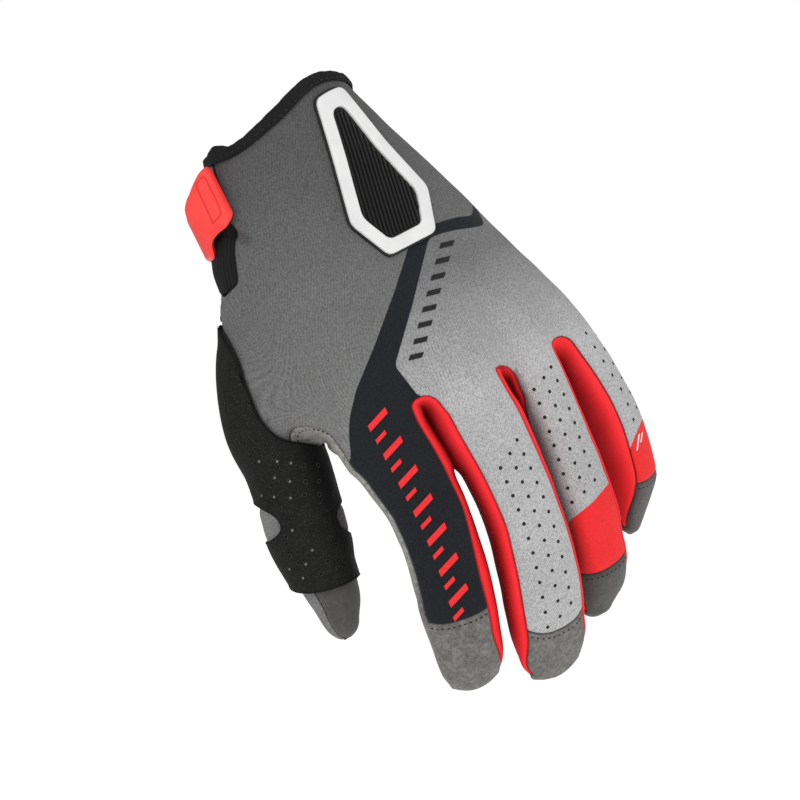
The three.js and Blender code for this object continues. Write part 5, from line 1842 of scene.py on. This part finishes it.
def back_cloth():
    """Printed stretch twill: dark grey, light grey, a black stripe and red finger ends, with painted shade
    and light on the greys, painted shade between the fingers and a painted seam shadow.
    """
    material, tree, shader = new_material("back_cloth_print", Roughness=0.85, Specular_IOR_Level=0.15,
                                          Sheen_Weight=0.05, Sheen_Roughness=0.5)
    cloud = grain(tree, 28, 3)
    speckle = grain(tree, 1500, 1, 0.6)
    twill = thread_waves(tree, 0.72, 38)
    weft = thread_waves(tree, 0.5, -52)
    height = place_parts(tree)["Z"]
    # Painted shade and light: each grey darker towards the wrist and the knuckles, lighter towards the
    # thumb and the fingers
    dark = blend(tree, between(tree, height, -0.01, -0.1), DARK_GREY_SHADED, DARK_GREY_LIT)
    light = blend(tree, between(tree, height, -0.066, -0.108), LIGHT_GREY_SHADED, LIGHT_GREY_LIT)
    shown = blend(tree, by_layer(tree, "light", -0.1, 0.1), dark, light)
    shown = blend(tree, by_layer(tree, "red", -0.1, 0.1), shown, PRINT_RED)
    shown = blend(tree, by_layer(tree, "black", -0.1, 0.1), shown, PRINT_BLACK)
    weave = maths(tree, "ADD", maths(tree, "MULTIPLY", twill, 0.65), maths(tree, "MULTIPLY", weft, 0.35))
    level = between(tree, weave, 0, 1, -0.15, 0.15)
    level = maths(tree, "ADD", level, between(tree, speckle, 0.3, 0.7, -0.24, 0.24))
    level = maths(tree, "MULTIPLY", level, by_layer(tree, "red", -0.1, 0.1, 1.0, 0.3))
    level = maths(tree, "ADD", level, between(tree, cloud, 0.3, 0.7, -0.07, 0.07))
    # Painted shade: the cloth darker where it lies less open, between the fingers
    deep = by_layer(tree, "open", 0.45, 0.82, 0.35, 1.0)
    factor = maths(tree, "MULTIPLY", maths(tree, "ADD", level, 1.0), deep)
    grey = add_node(tree, "CombineColor", {0: factor, 1: factor, 2: factor}).outputs[0]
    shown = blend(tree, 1.0, shown, grey, "MULTIPLY")
    seam = by_layer(tree, "seam", 0.1, 0.42, 0.85, 0.0)
    shade_from(tree, shader, blend(tree, seam, shown, SEAM_SHADOW))
    raise_by(tree, shader, maths(tree, "ADD", weave, maths(tree, "MULTIPLY", speckle, 0.6)), 0.09, 0.7)
    return material


def stretch_red():
    """Bright red knitted stretch between the fingers."""
    material, tree, shader = new_material("stretch_red_knit", Roughness=0.7, Specular_IOR_Level=0.08)
    ribs = thread_waves(tree, 0.8, 4)
    cross = thread_waves(tree, 0.6, 90)
    cloud = grain(tree, 45, 2)
    shown = mottled(tree, cloud, colour(255, 54, 60), colour(248, 46, 52))
    weave = maths(tree, "MULTIPLY", ribs, cross)
    shown = blend(tree, between(tree, weave, 0, 0.7, 0.18, 0.0), shown, colour(150, 8, 18))
    # Painted shade: deep dark red where the knit lies less open, in the crotches between the fingers
    deep = by_layer(tree, "open", 0.35, 0.8, 0.9, 0.0)
    shown = blend(tree, deep, shown, colour(96, 0, 5))
    # Painted shade: darker red along the seams
    seam = by_layer(tree, "seam", 0.1, 0.7, 0.6, 0.0)
    shade_from(tree, shader, blend(tree, seam, shown, colour(92, 6, 12)))
    raise_by(tree, shader, weave, 0.12, 0.6)
    return material


def suede(name, light_tone, dark_tone, upper_tone):
    """Grey suede mottled by its nap, with its own tone above the tips, and painted shade to the outer side,
    between the fingers and along the seams.
    """
    material, tree, shader = new_material(name, Roughness=0.95, Specular_IOR_Level=0.1,
                                          Sheen_Weight=0.2, Sheen_Roughness=0.6)
    nap = grain(tree, 760, 4, 0.7)
    patches = grain(tree, 240, 3, 0.65)
    fibre = grain(tree, 2600, 2, 0.6)
    shown = blend(tree, between(tree, patches, 0.36, 0.64), dark_tone, light_tone)
    place = place_parts(tree)
    shown = blend(tree, between(tree, place["Z"], -0.165, -0.15, 0.0, 0.8), shown, upper_tone)
    shown = blend(tree, between(tree, nap, 0.38, 0.62, 0.0, 0.66), shown, colour(58, 57, 55))
    shown = blend(tree, between(tree, fibre, 0.48, 0.68, 0.0, 0.5), shown, light_tone)
    # Painted shade on the ring and little fingers: darker towards the little finger's side
    shown = blend(tree, between(tree, place["X"], 0.014, 0.024, 0.0, 0.7), shown, colour(50, 48, 46))
    # Painted shade: darker where the suede lies less open, between the fingers
    deep = by_layer(tree, "open", 0.4, 0.85, 0.7, 0.0)
    shown = blend(tree, deep, shown, colour(34, 32, 31))
    # Painted shade along the seams, under the cloth's turned edges
    seam = by_layer(tree, "seam", 0.1, 0.5, 0.85, 0.0)
    shade_from(tree, shader, blend(tree, seam, shown, colour(38, 37, 35)))
    height = maths(tree, "ADD", nap, maths(tree, "MULTIPLY", fibre, 0.5))
    raise_by(tree, shader, height, 0.25, 0.8)
    return material


def elastic():
    """Black ribbed elastic at the side of the wrist."""
    material, tree, shader = new_material("elastic_black", Roughness=0.8, Specular_IOR_Level=0.15)
    ribs = thread_waves(tree, 1.5, 0)
    fine = grain(tree, 1600, 2, 0.6)
    shown = blend(tree, ribs, colour(12, 12, 13), colour(26, 26, 27))
    shown = blend(tree, between(tree, fine, 0.35, 0.7, 0.0, 0.5), shown, colour(32, 32, 33))
    shade_from(tree, shader, shown)
    raise_by(tree, shader, maths(tree, "ADD", ribs, maths(tree, "MULTIPLY", fine, 0.3)), 0.2, 0.7)
    return material


def leather():
    """Matt black synthetic leather, with painted shade where it lies less open and along its edges."""
    material, tree, shader = new_material("synthetic_leather_black", Roughness=0.6, Specular_IOR_Level=0.12)
    pores = grain(tree, 900, 3, 0.6)
    wrinkles = grain(tree, 260, 4, 0.6)
    dust = grain(tree, 3000, 1, 0.6)
    shown = mottled(tree, wrinkles, colour(16, 16, 15), colour(27, 27, 25))
    shown = blend(tree, between(tree, dust, 0.6, 0.72, 0.0, 0.5), shown, colour(84, 83, 80))
    # Painted shade: darker where the patch lies less open, on its lower part beside the index finger
    height = place_parts(tree)["Z"]
    deep = by_layer(tree, "open", 0.5, 0.9, 0.8, 0.0)
    deep = maths(tree, "MULTIPLY", deep, between(tree, height, -0.105, -0.085, 1.0, 0.0))
    shown = blend(tree, deep, shown, colour(7, 7, 7))
    # Painted shade along the patch's rolled edge
    edge = by_layer(tree, "seam", 0.3, 1.2, 0.8, 0.0)
    shade_from(tree, shader, blend(tree, edge, shown, colour(12, 12, 12)))
    tree.links.new(between(tree, wrinkles, 0.3, 0.7, 0.6, 0.8), shader.inputs["Roughness"])
    raise_by(tree, shader, maths(tree, "ADD", pores, maths(tree, "MULTIPLY", wrinkles, 1.5)), 0.12, 0.7)
    return material


def binding_tape():
    """Black woven tape round the wrist opening."""
    material, tree, shader = new_material("binding_tape_black", Roughness=0.8, Specular_IOR_Level=0.15)
    fine = grain(tree, 2200, 2, 0.6)
    cloud = grain(tree, 160, 2)
    shown = mottled(tree, cloud, colour(16, 16, 17), colour(23, 23, 24))
    shown = blend(tree, between(tree, fine, 0.4, 0.7, 0.0, 0.5), shown, colour(36, 36, 37))
    shade_from(tree, shader, shown)
    raise_by(tree, shader, fine, 0.1, 0.6)
    return material


def hook_tape():
    """The strap's looped pile."""
    material, tree, shader = new_material("hook_tape_black", Roughness=0.9, Specular_IOR_Level=0.2,
                                          Sheen_Weight=0.15)
    loops = add_node(tree, "TexVoronoi", {"Vector": place_on(tree), "Scale": 1100.0}).outputs["Distance"]
    cloud = grain(tree, 220, 3)
    shown = blend(tree, between(tree, loops, 0.1, 0.7), colour(62, 62, 64), colour(18, 18, 19))
    shown = blend(tree, between(tree, cloud, 0.4, 0.7, 0.0, 0.4), shown, colour(28, 28, 29))
    shade_from(tree, shader, shown)
    raise_by(tree, shader, between(tree, loops, 0.0, 0.8, 1.0, 0.0), 0.35, 0.8)
    return material


def rubber_red():
    """Soft moulded rubber, with painted shade along its edges and in its groove."""
    material, tree, shader = new_material("rubber_red_moulded", Roughness=0.42, Specular_IOR_Level=0.45)
    cloud = grain(tree, 90, 2)
    fine = grain(tree, 1800, 2)
    shown = mottled(tree, cloud, colour(250, 62, 54), colour(244, 54, 48))
    # Painted shade: darker red along the tab's edges
    shown = blend(tree, by_layer(tree, "seam", 0.3, 2.2, 0.55, 0.0), shown, colour(224, 34, 32))
    # Painted shade: darker red in the groove
    groove = by_layer(tree, "groove", 0.12, 0.45, 1.0, 0.0)
    shade_from(tree, shader, blend(tree, groove, shown, colour(216, 22, 24)))
    tree.links.new(between(tree, fine, 0.3, 0.7, 0.36, 0.5), shader.inputs["Roughness"])
    raise_by(tree, shader, fine, 0.03, 0.5)
    return material


def moulded(name, light_tone, dark_tone, gloss, bump):
    """Moulded plastic with a faint grain."""
    material, tree, shader = new_material(name, Roughness=gloss, Specular_IOR_Level=0.3)
    cloud = grain(tree, 120, 2)
    fine = grain(tree, 1500, 2)
    shade_from(tree, shader, mottled(tree, cloud, light_tone, dark_tone))
    tree.links.new(between(tree, fine, 0.3, 0.7, gloss - 0.06, gloss + 0.08), shader.inputs["Roughness"])
    raise_by(tree, shader, fine, bump, 0.5)
    return material


def yarn(name, tone, deep):
    """Sewing thread, its twist showing as fine bands."""
    material, tree, shader = new_material(name, Roughness=0.7, Specular_IOR_Level=0.2)
    twist = grain(tree, 2600, 1)
    shade_from(tree, shader, blend(tree, between(tree, twist, 0.4, 0.6), tone, deep))
    raise_by(tree, shader, twist, 0.05, 0.6)
    return material


def ink(name, tone, deep):
    """Printed ink through which the cloth's grain shows."""
    material, tree, shader = new_material(name, Roughness=0.75, Specular_IOR_Level=0.15)
    fine = grain(tree, 1500, 1, 0.6)
    shade_from(tree, shader, blend(tree, between(tree, fine, 0.35, 0.65, 0.0, 0.6), tone, deep))
    raise_by(tree, shader, fine, 0.06, 0.5)
    return material


back_look = back_cloth()
suede_look = suede("suede_nap", colour(126, 124, 120), colour(100, 98, 95), colour(166, 164, 159))
# A darker copy of the suede for the thumb's front: painted shade
shaded_thumb_suede_look = suede("suede_nap_dark", colour(83, 81, 78), colour(60, 59, 56), colour(76, 74, 72))
red_look = stretch_red()
LOOKS = {
    "back_panel": back_look,
    "thumb_back": back_look,
    "palm_panel": suede_look,
    "thumb_front": shaded_thumb_suede_look,
    "fourchette_index_middle": red_look,
    "fourchette_middle_ring": red_look,
    "fourchette_ring_little": red_look,
    "wrist_gusset": elastic(),
}
THREAD_DARK = yarn("thread_dark", colour(30, 29, 28), colour(14, 14, 14))
THREAD_GREY = yarn("thread_grey", colour(48, 48, 47), colour(30, 30, 30))
INK_DARK = ink("ink_dark", colour(38, 39, 41), colour(26, 27, 29))
TRIM_LOOKS = {
    "thumb_patch": leather(),
    "rim_binding": binding_tape(),
    "palm_strap": hook_tape(),
    "rubber_tab": rubber_red(),
    "guard_rim": moulded("guard_white_satin", colour(222, 222, 220), colour(214, 215, 214), 0.38, 0.02),
    "guard_ribs": moulded("guard_black_ribbed", colour(16, 16, 16), colour(10, 10, 10), 0.55, 0.04),
}


def dress(part, look):
    part.data.materials.clear()
    part.data.materials.append(look)


def finish_skin(name, part):
    """Gives a sewn piece its cloth's thickness and its material."""
    thicken(part, CLOTH_THICK)
    for face in part.data.polygons:
        face.material_index = 0
    dress(part, LOOKS[name])
    shade_smooth(part, 50)
    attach(part, "root")
    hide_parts(name)


def finish_trim(name, node, part):
    """Gives a piece laid on the cloth its material, in place of its solid."""
    dress(part, TRIM_LOOKS[name])
    shade_smooth(part, 35)
    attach(part, "root")
    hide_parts(node)


def finish_extra(part, look):
    """A small piece that the solids leave out: stitches, marks and the guard's base."""
    dress(part, look)
    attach(part, "root")


extra_sewing = [
    (cap_stitches(), "suede", THREAD_DARK),
    (thumb_stitches(), "suede", THREAD_DARK),
    (patch_sewing, "synthetic_leather", THREAD_DARK),
    (patch_lips, "synthetic_leather", yarn("hole_lip", colour(58, 57, 55), colour(30, 30, 29))),
    (patch_glints, "synthetic_leather", ink("hole_light", colour(124, 122, 118), colour(84, 83, 80))),
    # Dark discs for the punched holes: painted shade inside them
    (patch_holes, "synthetic_leather", ink("hole_dark", colour(8, 8, 8), colour(14, 14, 14))),
    (binding_stitches(), "binding", THREAD_GREY),
    (strap_stitches(), "hook_tape", THREAD_GREY),
    (finger_dots, "back_cloth", INK_DARK),
    (stripe_bars, "back_cloth", INK_DARK),
    (finger_bars, "back_cloth", ink("ink_red", colour(232, 50, 54), colour(214, 40, 44))),
    (little_bars, "back_cloth", ink("ink_white", colour(246, 236, 236), colour(232, 214, 214))),
    (guard_base, "guard_black",
     moulded("guard_base_black", colour(24, 24, 24), colour(16, 16, 16), 0.5, 0.02)),
]
for piece_name, part in pieces.items():
    finish_skin(piece_name, part)
for trim_name, (node_name, part) in extras.items():
    finish_trim(trim_name, node_name, part)
for part, slot_name, look in extra_sewing:
    finish_extra(part, look)

# The studio: a pale floor far below, white surroundings and a soft key light
FLOOR_HEIGHT = -0.42
FLOOR_SIZE = 60
KEY_DIRECTION = (-0.42, -0.72, 0.55)
# The lamps: name, place, size and power
LAMPS = (("key", (-0.55, -0.75, 0.35), 0.5, 1.6), ("rim", (0.6, -0.35, 0.1), 0.4, 0.4))
LAMP_AIM = (0, 0, -0.1)
CAMERA_ROLL = math.radians(26.3)
CAMERA_LENS = 136.4
CAMERA_SENSOR = 36


def make_floor():
    floor = primitive("plane", size=FLOOR_SIZE, location=(0, 0, FLOOR_HEIGHT))
    floor.name = "floor"
    material, _, shader = new_material("floor_pale", Roughness=0.9, Base_Color=(0.92, 0.92, 0.92, 1))
    shader.inputs["Emission Color"].default_value = (1, 1, 1, 1)
    shader.inputs["Emission Strength"].default_value = 0.35
    floor.data.materials.append(material)


def make_world():
    """Soft light from all round, stronger from the key's side, on a white ground."""
    world = bpy.data.worlds.new("studio")
    bpy.context.scene.world = world
    world.use_nodes = True
    tree = world.node_tree
    direction = add_node(tree, "TexCoord").outputs["Generated"]
    key = Vector(KEY_DIRECTION).normalized()
    inputs = {0: direction, 1: tuple(key)}
    toward = add_node(tree, "VectorMath", inputs, operation="DOT_PRODUCT").outputs["Value"]
    strength = between(tree, toward, -0.6, 1.0, 0.26, 1.1)
    shown = add_node(tree, "LightPath").outputs["Is Camera Ray"]
    level = add_node(tree, "Mix", {0: shown, 2: strength, 3: 1.0}, data_type="FLOAT").outputs[0]
    tree.links.new(level, tree.nodes["Background"].inputs["Strength"])
    tree.nodes["Background"].inputs["Color"].default_value = (1, 1, 1, 1)


def make_lamp(name, place, size, power):
    light = bpy.data.lights.new(name, "AREA")
    light.energy = power
    light.size = size
    lamp = bpy.data.objects.new(name, light)
    bpy.context.scene.collection.objects.link(lamp)
    lamp.location = place
    lamp.rotation_mode = "QUATERNION"
    lamp.rotation_quaternion = (Vector(LAMP_AIM) - Vector(place)).to_track_quat("-Z", "Y")


def make_camera():
    """The camera of the picture's view, rolled so that the glove stands as it does there."""
    right = ACROSS * math.cos(CAMERA_ROLL) - UP * math.sin(CAMERA_ROLL)
    upward = ACROSS * math.sin(CAMERA_ROLL) + UP * math.cos(CAMERA_ROLL)
    data = bpy.data.cameras.new("camera")
    data.sensor_width = CAMERA_SENSOR
    data.lens = CAMERA_LENS
    camera = bpy.data.objects.new("camera", data)
    bpy.context.scene.collection.objects.link(camera)
    place = Matrix((right, upward, -AWAY)).transposed().to_4x4()
    place.translation = EYE * MM
    camera.matrix_world = place
    bpy.context.scene.camera = camera


make_floor()
make_world()
for lamp_name, lamp_place, lamp_size, lamp_power in LAMPS:
    make_lamp(lamp_name, lamp_place, lamp_size, lamp_power)
make_camera()
bpy.context.scene.view_settings.view_transform = "Standard"
